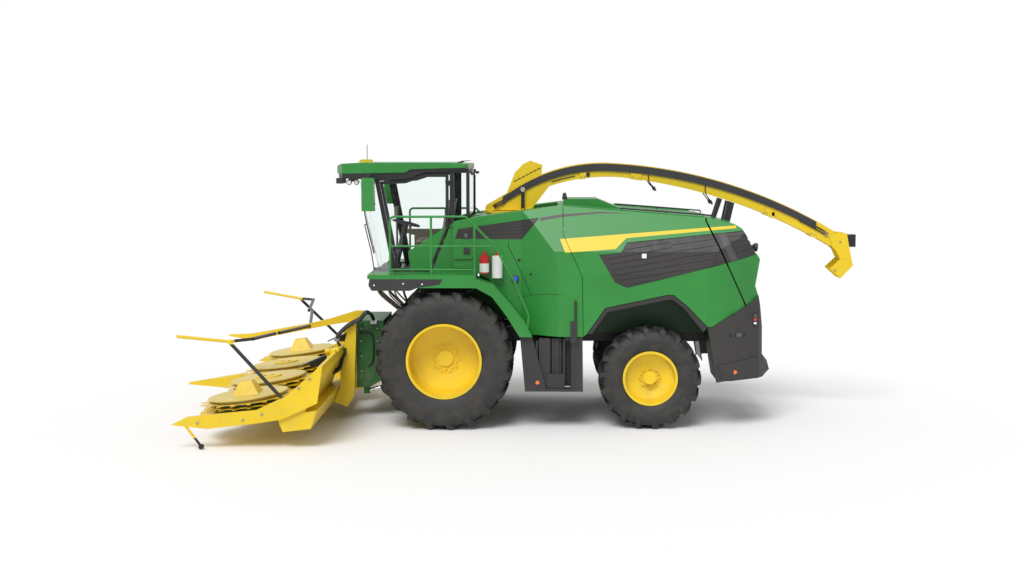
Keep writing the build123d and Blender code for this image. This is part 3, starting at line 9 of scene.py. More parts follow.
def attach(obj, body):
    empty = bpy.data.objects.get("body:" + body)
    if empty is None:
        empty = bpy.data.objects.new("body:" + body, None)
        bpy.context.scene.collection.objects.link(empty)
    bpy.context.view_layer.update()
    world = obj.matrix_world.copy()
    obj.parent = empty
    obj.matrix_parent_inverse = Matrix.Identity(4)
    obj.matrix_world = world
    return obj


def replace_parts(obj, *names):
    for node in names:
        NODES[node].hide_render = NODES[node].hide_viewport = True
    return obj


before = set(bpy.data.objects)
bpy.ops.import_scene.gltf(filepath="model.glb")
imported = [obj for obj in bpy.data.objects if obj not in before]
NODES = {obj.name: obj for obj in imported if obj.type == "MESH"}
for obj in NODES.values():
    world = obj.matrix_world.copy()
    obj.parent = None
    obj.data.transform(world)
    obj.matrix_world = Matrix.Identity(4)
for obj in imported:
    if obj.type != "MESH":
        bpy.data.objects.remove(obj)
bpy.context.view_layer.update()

# Camera at the place and angle of the photograph, in metres and degrees
CAMERA_PLACE = (0.40, -22.1, 4.09)
CAMERA_YAW = 1.3232
CAMERA_PITCH = -5.543
CAMERA_REACH = 200.0
LENS_MM = 50.0
SENSOR_MM = 36.0

# Light and floor
SKY_STRENGTH = 0.55
SKY_IN_GLOSS = 0.8
KEY_STRENGTH = 2.2
KEY_ANGLE = 30.0
KEY_TILT = (38.0, -14.0, 0.0)
FLOOR_WHITE = 0.93
FLOOR_FADE = (7.5, 16.0)

# Colours, linear
GREEN = (0.028, 0.235, 0.040)
# Painted shade: dark green laid into the deck recess, the wheel arches' insides and the rotor drums
PAINTED_SHADE_GREEN = (0.006, 0.060, 0.012)
YELLOW = (0.80, 0.56, 0.015)
TAN = (0.70, 0.54, 0.12)
BLACK = (0.016, 0.016, 0.017)
GREY_BLACK = (0.026, 0.026, 0.027)
WARM_BLACK = (0.032, 0.029, 0.028)
MESH_GREY = (0.070, 0.066, 0.067)
RUBBER = (0.020, 0.020, 0.021)
DUST = (0.30, 0.26, 0.19)
STEEL = (0.42, 0.41, 0.39)
CHROME = (0.75, 0.75, 0.76)
IRON = (0.05, 0.05, 0.052)
ORANGE = (0.75, 0.14, 0.01)
RED = (0.55, 0.015, 0.012)
WHITE = (0.80, 0.80, 0.78)
DARK_LENS = (0.06, 0.06, 0.07)
BLUE = (0.02, 0.10, 0.55)
BEIGE = (0.34, 0.28, 0.21)
TRIM_GREY = (0.09, 0.09, 0.095)
PIPE_TAN = (0.50, 0.42, 0.33)
GLASS_TINT = (0.93, 0.97, 0.96)

# Height below which paint gathers dust, and height where it is thickest
DUST_TOP, DUST_FULL = 1.6, 0.1

# Header frame: its origin at the rotors' axes and its tilt, and the rotor pitch
HEADER_X, HEADER_Z = -3.78, 0.47
HEADER_TILT = math.radians(6.8)
ROTOR_PITCH = 1.5

# Places of the wheels: (x, z) of the axis
FRONT_WHEEL = (-1.070, 1.015)
REAR_WHEEL = (1.950, 0.755)

# Rays start outside the nodes they meet; fittings are sunk a little into their wall
OUTSIDE = 5.0
SUNK = 0.01
UP = Vector((0, 0, 1))

SIDES = (("left", -1), ("right", 1))


# Values of a shader tree

class Tree:
    """A node tree, with the nodes that the materials and the world are made of."""

    def __init__(self, node_tree):
        self.nodes, self.links = node_tree.nodes, node_tree.links

    def put(self, value, socket):
        """Link another node's output, or set a number or colour."""
        if isinstance(value, bpy.types.NodeSocket):
            self.links.new(value, socket)
        else:
            socket.default_value = value + (1.0,) if isinstance(value, tuple) else value

    def add(self, kind, inputs, output=0, **settings):
        """One output of a new node with these settings and inputs."""
        node = self.nodes.new("ShaderNode" + kind)
        for name, value in settings.items():
            setattr(node, name, value)
        for name, value in inputs.items():
            self.put(value, node.inputs[name])
        return node.outputs[output]

    def math(self, operation, *values):
        return self.add("Math", dict(enumerate(values)), operation=operation)

    def ramp(self, value, low, high, low_out=0.0, high_out=1.0):
        return self.add("MapRange", {"Value": value, "From Min": low, "From Max": high,
                                     "To Min": low_out, "To Max": high_out}, "Result")

    def mix(self, factor, first, second):
        return self.add("Mix", {0: factor, 6: first, 7: second}, 2, data_type="RGBA")


class Field:
    """A number of a shader tree, with the operators that the masks are written in."""

    def __init__(self, tree, socket):
        self.tree, self.socket = tree, socket

    def calc(self, operation, *others):
        values = [other.socket if isinstance(other, Field) else other for other in others]
        return Field(self.tree, self.tree.math(operation, self.socket, *values))

    def __add__(self, other):
        return self.calc("ADD", other)

    def __sub__(self, other):
        return self.calc("SUBTRACT", other)

    def __mul__(self, other):
        return self.calc("MULTIPLY", other)

    def __gt__(self, other):
        return self.calc("GREATER_THAN", other)

    def __lt__(self, other):
        return self.calc("LESS_THAN", other)

    def __and__(self, other):
        return self.calc("MULTIPLY", other)

    def __or__(self, other):
        return self.calc("MAXIMUM", other)

    def __abs__(self):
        return self.calc("ABSOLUTE")


class Look(Tree):
    """A material: its shader, and its textures in the object's own coordinates."""

    def __init__(self, name):
        self.material = bpy.data.materials.new(name)
        self.material.use_nodes = True
        super().__init__(self.material.node_tree)
        self.shader = self.nodes["Principled BSDF"]
        self.place = self.nodes.new("ShaderNodeTexCoord").outputs["Object"]

    def set(self, values):
        for name, value in values.items():
            self.put(value, self.shader.inputs[name])

    def axes(self):
        """The x, y and z of the textured point."""
        split = self.nodes.new("ShaderNodeSeparateXYZ")
        self.put(self.place, split.inputs[0])
        return [Field(self, socket) for socket in split.outputs]

    def noise(self, scale, detail=4.0):
        return self.add("TexNoise", {"Vector": self.place, "Scale": scale, "Detail": detail}, "Fac")

    def wave(self, scale, direction="X", distortion=0.0):
        return self.add("TexWave", {"Vector": self.place, "Scale": scale, "Distortion": distortion}, "Fac",
                        bands_direction=direction)

    def bump(self, height, strength, distance):
        inputs = {"Height": height, "Strength": strength, "Distance": distance}
        self.set({"Normal": self.add("Bump", inputs, "Normal")})

    def zoned(self, base, zones):
        """The base colour with each zone's colour laid over it."""
        place = self.axes()
        for mask, colour in zones:
            base = self.mix(mask(*place).socket, base, colour)
        return base


# Masks over a node's own (x, y, z) in metres: 1 where the second colour goes

def line(x, start, end):
    """Height of the line through two (x, z) points."""
    slope = (end[1] - start[1]) / (end[0] - start[0])
    return x * slope + (start[1] - slope * start[0])


def line_x(z, start, end):
    """x of the line through two (x, z) points at a height."""
    return line(z, start[::-1], end[::-1])


STRIPE_NOSE, STRIPE_FOOT = (0.621, 2.797), (0.698, 2.603)
STRIPE_STEP_LOW, STRIPE_STEP_TOP = (1.429, 2.657), (1.587, 2.812)
STRIPE_TAIL_LOW, STRIPE_TAIL_TOP = (3.166, 2.953), (3.196, 2.995)


def stripe(x, y, z):
    """Stripe along the hull's side, deeper at its front end."""
    above_foot = z > line(x, STRIPE_FOOT, STRIPE_STEP_LOW)
    above_step = z > line(x, STRIPE_STEP_LOW, STRIPE_STEP_TOP)
    deep = above_foot & above_step & (x < STRIPE_STEP_TOP[0])
    slim = (z > line(x, STRIPE_STEP_TOP, STRIPE_TAIL_LOW)) & (x > STRIPE_STEP_TOP[0])
    ends = (z > line(x, STRIPE_NOSE, STRIPE_FOOT)) & (x < 3.19)
    return (deep | slim) & ends & (z < line(x, STRIPE_NOSE, STRIPE_TAIL_TOP)) & (abs(y) > 1.05)


BAND_TOP = ((0.328, 3.101), (0.646, 3.150), (1.208, 3.187), (1.697, 3.163))
BAND_LOW = ((0.329, 3.052), (0.647, 3.109), (1.208, 3.163), (1.697, 3.162))


def shoulder_band(x, y, z):
    """Dark band under the hull's top edge."""
    inside = (x > BAND_TOP[0][0]) & (x < BAND_TOP[-1][0]) & (abs(y) > 0.9)
    for start, end in zip(BAND_TOP, BAND_TOP[1:]):
        inside = inside & (z < line(x, start, end))
    above = z > line(x, BAND_LOW[0], BAND_LOW[1])
    for start, end in zip(BAND_LOW[1:], BAND_LOW[2:]):
        above = above | (z > line(x, start, end))
    return inside & above


def rest_posts(x, y, z):
    return (x > 2.88) & (abs(y) < 0.175) & (z > line(x, (2.814, 3.110), (3.187, 3.017)))


# Painted shade: dark green in the deck's recess
def deck_recess_shade(x, y, z):
    return (x < 0.61) & (abs(y) < 0.69) & (z < 3.075)


# Painted shade: dark green over the inside of the wheel arches
def arch_liner_shade(x, y, z):
    return (x > 0.7) & (abs(y) < 1.376)


def arch_lip(x, y, z):
    return (x > 0.7) & (abs(y) > 1.3755)


def door_panel(x, y, z):
    """Painted lower part of the door and of the side that mirrors it."""
    below = z < line(x, (-1.642, 2.578), (-1.072, 2.952))
    behind = z > line(x, (-1.642, 2.578), (-1.600, 2.290))
    ahead = z > line(x, (-1.345, 2.290), (-1.067, 2.960))
    return below & behind & ahead & (abs(y) > 0.90) & (x > -1.66) & (z > 2.315)


def cab_side(x, y, z):
    """Painted wall behind the door's slanted edge."""
    below = z < line(x, (-1.295, 2.258), (-1.015, 2.950))
    return below & (z < 3.0) & (x > -1.295) & (abs(y) > 0.885)


def cab_floor_edge(x, y, z):
    return z < 2.2565


def mirror_shell(x, y, z):
    return (abs(y) > 1.38) & (z < 3.686)


def receiver_cap(x, y, z):
    return (abs(y) < 0.16) & (z > 3.898) & (x < -2.26)


def bar_tips(x, y, z):
    return (z > 1.44) & (abs(y) > 2.78) & (x < -3.86)


def boom_bars(x, y, z):
    return abs(y) > 0.048


def feeler_foot(x, y, z):
    return (z < 0.16) & (x < -4.2)


def header_axes(x, z):
    """Header-frame (x, z) of a point."""
    c, s = math.cos(HEADER_TILT), math.sin(HEADER_TILT)
    dx, dz = x - HEADER_X, z - HEADER_Z
    return dx * c + dz * s, dz * c - dx * s


def rotor_axes(x, y, z):
    """Header-frame (x, y, z) from the nearest rotor's axis; y runs outwards from 0."""
    hx, hz = header_axes(x, z)
    return hx, abs(abs(abs(y) - ROTOR_PITCH) - ROTOR_PITCH / 2), hz


def rotor_plate(x, y, z):
    """Worn cover plate round a rotor's middle."""
    hx, hy, hz = rotor_axes(x, y, z)
    return (hx * hx + hy * hy < 0.565 ** 2) & (hz > 0.1) & (hz < 0.19)


# Painted shade: black strips that stand for the slots in the cover plates
def rotor_slot_shade(x, y, z):
    hx, hy, hz = rotor_axes(x, y, z)
    return (abs(abs(hx) - 0.0575) < 0.0375) & (hy < 0.0245) & (hz > 0.19) & (abs(y) < ROTOR_PITCH)


def rotor_drum_shade(x, y, z):
    """Painted shade: dark green on the drum between the discs."""
    hx, hy, hz = rotor_axes(x, y, z)
    return (hx * hx + hy * hy < 0.484 ** 2) & (hz < 0.169)


def header_floor(x, y, z):
    hx, hz = header_axes(x, z)
    return (hz > -0.0205) & (hz < 0.02) & (hx < 0.80) & (abs(y) < 2.97)


def bottle_label(x, y, z):
    return (x < -0.4) & (z > 2.30) & (z < 2.43)


def second_bottle(x, y, z):
    return (x > -0.4) & (z < 2.545)


def console_part(x, y, z):
    return (y > 0.28) & (y < 0.53) & (z > 2.30)


def mesh_zone(x, y, z):
    """Paler mesh strip near the rear of the side grille."""
    return (x > line_x(z, (2.93, 2.85), (3.13, 2.44))) & (x < line_x(z, (3.05, 2.85), (3.24, 2.44)))


def camera_case(x, y, z):
    """Camera on the back of the spout's end."""
    return (abs(y) < 0.0705) & (x > line_x(z, (5.041, 2.813), (5.135, 2.358)))


# Materials

def shade(colour, factor):
    return tuple(min(1.0, c * factor) for c in colour)


def paint(name, colour, roughness=0.42, dust=0.25, zones=(), coat=0.12):
    """Sprayed paint with faint ripple, dust low down and other colours where the masks say."""
    look = Look(name)
    base = look.mix(look.ramp(look.noise(1.3), 0.35, 0.65), shade(colour, 0.93), shade(colour, 1.06))
    base = look.zoned(base, zones)
    height = look.axes()[2].socket
    grime = look.math("MULTIPLY", look.ramp(height, DUST_TOP, DUST_FULL),
                      look.ramp(look.noise(6.0, 8.0), 0.45, 0.75))
    look.set({"Base Color": look.mix(look.math("MULTIPLY", grime, dust), base, DUST),
              "Roughness": look.math("MULTIPLY_ADD", grime, 0.35, roughness),
              "Coat Weight": coat, "Coat Roughness": 0.2, "Specular IOR Level": 0.35})
    look.bump(look.noise(160.0, 2.0), 0.03, 0.002)
    return look.material


def satin(name, colour, zones=()):
    """Black frame paint, less glossy than the body paint."""
    return paint(name, colour, roughness=0.42, coat=0.15, zones=zones)


def plastic(name, colour, roughness=0.55, grain=420.0, zones=()):
    look = Look(name)
    base = look.mix(look.ramp(look.noise(3.0, 6.0), 0.3, 0.7), shade(colour, 0.85), shade(colour, 1.15))
    look.set({"Base Color": look.zoned(base, zones),
              "Roughness": look.ramp(look.noise(9.0), 0.3, 0.7, roughness - 0.06, roughness + 0.08)})
    look.bump(look.noise(grain, 2.0), 0.15, 0.001)
    return look.material


def tyre_rubber(name):
    look = Look(name)
    mottled = look.ramp(look.noise(7.0, 9.0), 0.42, 0.72)
    look.set({"Base Color": look.mix(look.math("MULTIPLY", mottled, 0.12), RUBBER, DUST),
              "Roughness": look.ramp(mottled, 0.0, 1.0, 0.62, 0.85)})
    look.bump(look.noise(90.0, 6.0), 0.25, 0.003)
    return look.material


def metal(name, colour, roughness=0.35, scratch=60.0):
    look = Look(name)
    worn = look.ramp(look.noise(scratch, 8.0), 0.3, 0.7)
    look.set({"Base Color": look.mix(worn, shade(colour, 0.75), colour), "Metallic": 1.0,
              "Roughness": look.ramp(worn, 0.0, 1.0, roughness + 0.15, roughness)})
    look.bump(worn, 0.08, 0.002)
    return look.material


def glass(name):
    look = Look(name)
    look.set({"Base Color": GLASS_TINT, "Transmission Weight": 1.0, "IOR": 1.08,
              "Roughness": look.ramp(look.noise(2.2, 6.0), 0.3, 0.8, 0.0, 0.05)})
    return look.material


def lens(name, colour, glow=0.0):
    look = Look(name)
    ribs = look.wave(40.0)
    look.set({"Base Color": colour, "Coat Weight": 1.0, "Emission Color": colour, "Emission Strength": glow,
              "Roughness": look.ramp(ribs, 0.0, 1.0, 0.1, 0.25)})
    look.bump(ribs, 0.3, 0.002)
    return look.material


def fabric(name, colour, threads=900.0):
    """Woven seat cloth: crossed threads in colour and relief."""
    look = Look(name)
    cloth = look.math("MULTIPLY", look.wave(threads, "X", 0.6), look.wave(threads, "Y", 0.6))
    patches = look.ramp(look.noise(12.0, 6.0), 0.35, 0.7, 0.0, 0.5)
    tone = look.math("MAXIMUM", look.math("MULTIPLY", cloth, 0.6), patches)
    look.set({"Base Color": look.mix(tone, colour, shade(colour, 0.62)), "Roughness": 0.9,
              "Sheen Weight": 0.25})
    look.bump(cloth, 0.35, 0.001)
    return look.material


HULL_ZONES = ((stripe, YELLOW), (shoulder_band, WARM_BLACK))
# Dark green in these zones is painted shade in the deck recess, the arch insides and the rotor drums
DECK_ZONES = ((rest_posts, BLACK), (deck_recess_shade, PAINTED_SHADE_GREEN))
ARCH_ZONES = ((arch_liner_shade, PAINTED_SHADE_GREEN), (arch_lip, WARM_BLACK))
HEADER_ZONES = ((header_floor, TAN), (feeler_foot, BLACK))
ROTOR_ZONES = ((rotor_drum_shade, PAINTED_SHADE_GREEN), (rotor_plate, TAN), (rotor_slot_shade, BLACK))
CAB_ZONES = ((door_panel, GREEN), (cab_side, GREEN), (cab_floor_edge, GREEN))
EQUIPMENT_ZONES = ((mirror_shell, GREEN), (receiver_cap, YELLOW))
BOTTLE_ZONES = ((bottle_label, WHITE), (second_bottle, WHITE))
MATERIALS = {
    "green": paint("green_paint", GREEN),
    "hull_green": paint("hull_paint", GREEN, zones=HULL_ZONES),
    "deck_green": paint("deck_paint", GREEN, zones=DECK_ZONES),
    "arch_green": paint("arch_paint", GREEN, zones=ARCH_ZONES),
    # Painted shade: a darker copy of the green paint for the feeder, axles, knuckles, cutter housing and
    # crop tower
    "shaded_green": paint("shaded_frame_green", shade(GREEN, 0.45), 0.5, 0.5, coat=0.1),
    "yellow": paint("yellow_paint", YELLOW, dust=0.35),
    "flap_yellow": paint("flap_paint", YELLOW, dust=0.3, zones=((camera_case, BLACK),)),
    "header_yellow": paint("header_paint", YELLOW, zones=HEADER_ZONES),
    "rotor_yellow": paint("rotor_paint", YELLOW, zones=ROTOR_ZONES),
    "boom_yellow": paint("boom_paint", YELLOW, dust=0.3, zones=((boom_bars, BLACK),)),
    "bar_black": satin("bar_paint", BLACK, ((bar_tips, YELLOW),)),
    "cab_black": satin("cab_paint", BLACK, CAB_ZONES),
    "door_black": satin("door_paint", BLACK, ((door_panel, GREEN),)),
    "black": satin("black_paint", BLACK),
    "plastic": plastic("black_plastic", GREY_BLACK),
    "warm_plastic": plastic("bumper_plastic", WARM_BLACK),
    "louvre": plastic("louvre_plastic", WARM_BLACK, 0.5, zones=((mesh_zone, MESH_GREY),)),
    "equipment": plastic("equipment_plastic", GREY_BLACK, zones=EQUIPMENT_ZONES),
    "rubber": tyre_rubber("tyre_rubber"),
    "steel": metal("worn_steel", STEEL),
    "chrome": metal("rod_chrome", CHROME, 0.12),
    "iron": plastic("engine_iron", IRON, 0.5, 90.0),
    "glass": glass("clear_glass"),
    "trim": plastic("cab_trim", TRIM_GREY, 0.6, zones=((console_part, BEIGE),)),
    "fabric": fabric("seat_fabric", BEIGE),
    # Painted light: the reflectors glow though they are no lamps
    "orange": lens("orange_reflector_painted_glow", ORANGE, 0.15),
    "red": lens("red_lens", RED, 0.05),
    "white_lens": lens("lamp_lens", WHITE, 0.1),
    "dark_lens": lens("dark_lens", DARK_LENS),
    "bottle": paint("bottle_paint", RED, 0.25, 0.1, BOTTLE_ZONES),
    "white_paint": paint("white_paint", WHITE, 0.3, 0.1),
    "pipe_tan": paint("pipe_paint", PIPE_TAN, 0.4, 0.1),
    "blue": plastic("blue_cap", BLUE, 0.4),
}

# Nodes of each material; {} stands for left and right
NODE_MATERIALS = {
    "hull_green": ("front_side_panels", "rear_cowl", "service_panel_{}"),
    "deck_green": ("top_deck",),
    "arch_green": ("fenders",),
    "green": ("cab_roof", "railings"),
    # Painted shade: these parts get the darker copy of the green paint
    "shaded_green": ("feeder_housing", "front_axle", "rear_axle", "knuckle_{}", "cutter_housing",
                   "crop_tower"),
    "header_yellow": ("header_centre_frame", "header_wing_{}"),
    "rotor_yellow": ("rotor_1", "rotor_2", "rotor_3", "rotor_4"),
    "boom_yellow": ("crop_boom",),
    "yellow": ("front_rim_{}", "rear_rim_{}", "spout_sides", "spout_top", "spout_turntable",
               "spout_flap_outer"),
    "flap_yellow": ("spout_flap_inner",),
    "bar_black": ("push_bar_{}",),
    "cab_black": ("cab_frame",),
    "door_black": ("cab_door",),
    "black": ("chassis_frame", "lift_cylinder_barrels", "spout_cylinder_barrels"),
    "plastic": ("side_skirts", "spout_hose_guards"),
    "warm_plastic": ("rear_bumper",),
    "louvre": ("hull_grilles", "service_grille_{}"),
    "equipment": ("cab_equipment",),
    "trim": ("cab_interior",),
    "steel": ("feed_roll_upper", "feed_roll_lower"),
    "chrome": ("lift_cylinder_rods", "spout_cylinder_rods"),
    "iron": ("engine_block",),
    "rubber": ("front_tyre_{}", "rear_tyre_{}"),
    "glass": ("cab_glass", "cab_door_glass"),
    "fabric": ("seat_cushions",),
    "bottle": ("fire_extinguishers",),
}

for key, names in NODE_MATERIALS.items():
    for node in {name.format(tag) for name in names for tag, side in SIDES}:
        NODES[node].data.materials.clear()
        NODES[node].data.materials.append(MATERIALS[key])


# Pieces

TREES = {}


def met(nodes, start, direction):
    """First point where a ray meets one of these nodes, or None."""
    found = []
    for node in nodes:
        if node not in TREES:
            mesh = NODES[node].data
            faces = [tuple(polygon.vertices) for polygon in mesh.polygons]
            TREES[node] = BVHTree.FromPolygons([vertex.co for vertex in mesh.vertices], faces)
        place, _, _, distance = TREES[node].ray_cast(Vector(start), Vector(direction))
        if place is not None:
            found.append((distance, place))
    return min(found, key=lambda pair: pair[0])[1] if found else None


def on_side(nodes, x, z, side):
    """Outermost point of these nodes at one (x, z), on one side, or None."""
    return met(nodes, (x, side * OUTSIDE, z), (0, -side, 0))


def smooth_path(points, steps=6):
    """Points of a smooth curve through the given ones."""
    given = [Vector(p) for p in points]
    path = []
    for i in range(len(given) - 1):
        before, start = given[max(i - 1, 0)], given[i]
        end, after = given[i + 1], given[min(i + 2, len(given) - 1)]
        square = 2 * before - 5 * start + 4 * end - after
        cube = 3 * start - before - 3 * end + after
        for k in range(steps):
            t = k / steps
            path.append(0.5 * (2 * start + (end - before) * t + square * t ** 2 + cube * t ** 3))
    return path + [given[-1]]


def circle(centre, radius, side, up, sides=24):
    """Points of a circle in the plane of two directions."""
    turns = (2 * math.pi * k / sides for k in range(sides))
    return [centre + radius * (math.cos(a) * side + math.sin(a) * up) for a in turns]


def added(name, data):
    """New object in the scene."""
    thing = bpy.data.objects.new(name, data)
    bpy.context.collection.objects.link(thing)
    return thing


class Piece:
    """One named mesh of several shapes, each with its material, that rides on a body."""

    def __init__(self, name, body="chassis"):
        self.name, self.body, self.mesh, self.keys = name, body, bmesh.new(), []

    def colour(self, faces, key):
        if key not in self.keys:
            self.keys.append(key)
        for face in faces:
            face.material_index = self.keys.index(key)

    def skin(self, rings, key, loop=False):
        """Faces between rings of equally many points, closed by a loop or by two ends."""
        rows = [[self.mesh.verts.new(point) for point in ring] for ring in rings]
        count = len(rows[0])
        pairs = list(zip(rows, rows[1:])) + ([(rows[-1], rows[0])] if loop else [])
        faces = [self.mesh.faces.new((a[i], a[(i + 1) % count], b[(i + 1) % count], b[i]))
                 for a, b in pairs for i in range(count)]
        if not loop:
            faces += [self.mesh.faces.new(rows[0][::-1]), self.mesh.faces.new(rows[-1])]
        self.colour(faces, key)

    def tube(self, points, radius, key, sides=10, steps=6):
        """Round hose or pipe through points."""
        path = smooth_path(points, steps) if len(points) > 2 else [Vector(p) for p in points]
        side = (path[1] - path[0]).orthogonal().normalized()
        rings = []
        for i, place in enumerate(path):
            along = (path[min(i + 1, len(path) - 1)] - path[max(i - 1, 0)]).normalized()
            side = (side - along * side.dot(along)).normalized()
            rings.append(circle(place, radius, side, along.cross(side), sides))
        self.skin(rings, key)

    def turned(self, centre, direction, *parts):
        """Solids of revolution: each part has a profile of (distance along, radius), its material
        and, where it isn't 24, its number of sides."""
        along = Vector(direction).normalized()
        side = along.orthogonal().normalized()
        up = along.cross(side)
        for profile, key, *sides in parts:
            self.skin([circle(Vector(centre) + along * reach, radius, side, up, *sides)
                       for reach, radius in profile], key)

    def bolt(self, place, side, washer, head, heights, keys=("yellow", "steel"), sides=24):
        """Washer and hexagon head on a side wall, each with its full and its bevelled radius."""
        self.turned(place, (0, side, 0),
                    ([(-0.004, washer[0]), (0.004, washer[0]), (0.005, washer[1])], keys[0], sides),
                    ([(0.003, head[0]), (heights[0], head[0]), (heights[1], head[1])], keys[1], 6))

    def prism(self, outline, y0, y1, key):
        """Outline of (x, z) points between two y planes."""
        self.skin([[(x, y, z) for x, z in outline] for y in (y0, y1)], key)

    def block(self, x0, x1, y0, y1, z0, z1, key):
        self.prism([(x0, z0), (x1, z0), (x1, z1), (x0, z1)], y0, y1, key)

    def done(self, slot="black_plastic", bevel=0.003):
        """The finished object, with its edges eased."""
        bmesh.ops.recalc_face_normals(self.mesh, faces=self.mesh.faces)
        data = bpy.data.meshes.new(self.name)
        self.mesh.to_mesh(data)
        self.mesh.free()
        for key in self.keys:
            data.materials.append(MATERIALS[key])
        data.shade_smooth()
        piece = added(self.name, data)
        eased = piece.modifiers.new("eased", "BEVEL")
        eased.width = bevel
        eased.segments = 2
        eased.limit_method = "ANGLE"
        eased.angle_limit = math.radians(48.0)
        eased.harden_normals = True
        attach(piece, self.body)
        return piece


def both(name, body="chassis"):
    """The left and the right piece of one kind, each with its side."""
    for tag, side in SIDES:
        yield Piece(f"{name}_{tag}", body.format(tag)), side


# Tyres with staggered tread bars

TYRE_SEGMENTS = 96
BAR_STEPS = 7
BAR_HEIGHT = 0.043


def tyre(name, tag, centre, radius, width, rim_radius, lugs):
    """Carcass turned about Y, with slanted bars that run out over its shoulders."""
    piece = Piece(f"{name}_tread_{tag}", f"{name}_wheel_{tag}")
    half, crown, wall = width / 2, radius - BAR_HEIGHT, (radius + rim_radius) / 2
    flange, seat = rim_radius + 0.023, rim_radius + 0.003

    def at(y, r, turn):
        return centre[0] + r * math.cos(turn), centre[1] + y, centre[2] + r * math.sin(turn)

    outer = [(0.0, crown), (0.45, crown - 0.003), (0.78, crown - 0.016), (0.90, crown - 0.045),
             (0.965, crown - 0.10), (0.995, wall + 0.03), (0.998, wall - 0.02), (0.985, wall - 0.035),
             (0.985, wall - 0.05), (0.96, wall - 0.10), (0.90, flange + 0.04), (0.86, flange + 0.012),
             (0.80, flange)]
    inner = [(-0.72, flange), (-0.70, seat), (0.70, seat), (0.72, flange)]
    outline = outer[::-1] + [(-share, r) for share, r in outer[1:]] + inner
    section = [(share * half, r) for share, r in outline]
    turns = [2 * math.pi * k / TYRE_SEGMENTS for k in range(TYRE_SEGMENTS)]
    piece.skin([[at(y, r, turn) for y, r in section] for turn in turns], "rubber", loop=True)
    pitch = 2 * math.pi * crown / lugs
    for sign, shift in ((1, 0.0), (-1, 0.5)):
        for k in range(lugs):
            middle = (k + shift) * 2 * math.pi / lugs - math.pi / 2
            bar = []
            for step in range(BAR_STEPS + 1):
                share = step / BAR_STEPS
                y = sign * half * (0.03 + 0.93 * share)
                drift = pitch * 0.52 * (0.5 - share ** 0.8)
                thick = pitch * (0.105 + 0.05 * share)
                top = radius - 0.030 * share ** 5 - (0.055 if step == BAR_STEPS else 0.0)
                foot = crown - 0.02 - 0.10 * share ** 3
                corners = ((drift - thick * 1.25, foot), (drift - thick, top), (drift + thick, top),
                           (drift + thick * 1.25, foot))
                bar.append([at(y, r, middle + t / crown) for t, r in corners])
            piece.skin(bar, "rubber")
    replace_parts(piece.done("tyre_rubber", 0.006), f"{name}_tyre_{tag}")


for tag, side in SIDES:
    tyre("front", tag, (FRONT_WHEEL[0], side * 1.295, FRONT_WHEEL[1]), 1.016, 0.710, 0.533, 20)
    tyre("rear", tag, (REAR_WHEEL[0], side * 1.210, REAR_WHEEL[1]), 0.756, 0.580, 0.381, 18)


# Seat cushions: crowned pads with sewn channels

PAD_STEPS = 40
CHANNEL_PLACE, CHANNEL_WIDTH, CHANNEL_DEPTH = 0.45, 0.035, 0.009


def cushion(name, centre, size, lean):
    """Crowned pad whose sides pull in between its corners; lean tips its far end up and back."""
    piece = Piece(name)
    ca, sa = math.cos(lean), math.sin(lean)
    for height in (1.0, -0.75):
        rows = []
        for i in range(PAD_STEPS + 1):
            rows.append([])
            for j in range(PAD_STEPS + 1):
                u, v = 2 * i / PAD_STEPS - 1, 2 * j / PAD_STEPS - 1
                edge = max(0.0, (1 - u ** 10) * (1 - v ** 10)) ** 0.4
                crown = (1 - u * u) ** 0.5 * (1 - v * v) ** 0.5
                rise = size[2] / 2 * (0.62 * edge + 0.38 * edge * crown)
                rise -= CHANNEL_DEPTH * edge * math.exp(-((abs(v) - CHANNEL_PLACE) / CHANNEL_WIDTH) ** 2)
                pull = 0.985 + 0.015 * u ** 4 * v ** 4
                px, py, pz = u * size[0] / 2 * pull, v * size[1] / 2 * pull, height * rise
                point = (centre[0] + px * ca - pz * sa, centre[1] + py, centre[2] + px * sa + pz * ca)
                rows[-1].append(piece.mesh.verts.new(point))
        faces = [piece.mesh.faces.new((rows[i][j], rows[i + 1][j], rows[i + 1][j + 1], rows[i][j + 1]))
                 for i in range(PAD_STEPS) for j in range(PAD_STEPS)]
        piece.colour(faces, "fabric")
    bmesh.ops.remove_doubles(piece.mesh, verts=piece.mesh.verts, dist=0.0002)
    pad = piece.done("seat_fabric", 0.0005)
    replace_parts(pad, "seat_cushions")


cushion("seat_base_pad", (-1.362, 0.0, 2.683), (0.450, 0.475, 0.108), 0.0)
cushion("seat_back_pad", (-1.113, 0.0, 3.040), (0.600, 0.455, 0.100), math.radians(79.6))


# Cab equipment

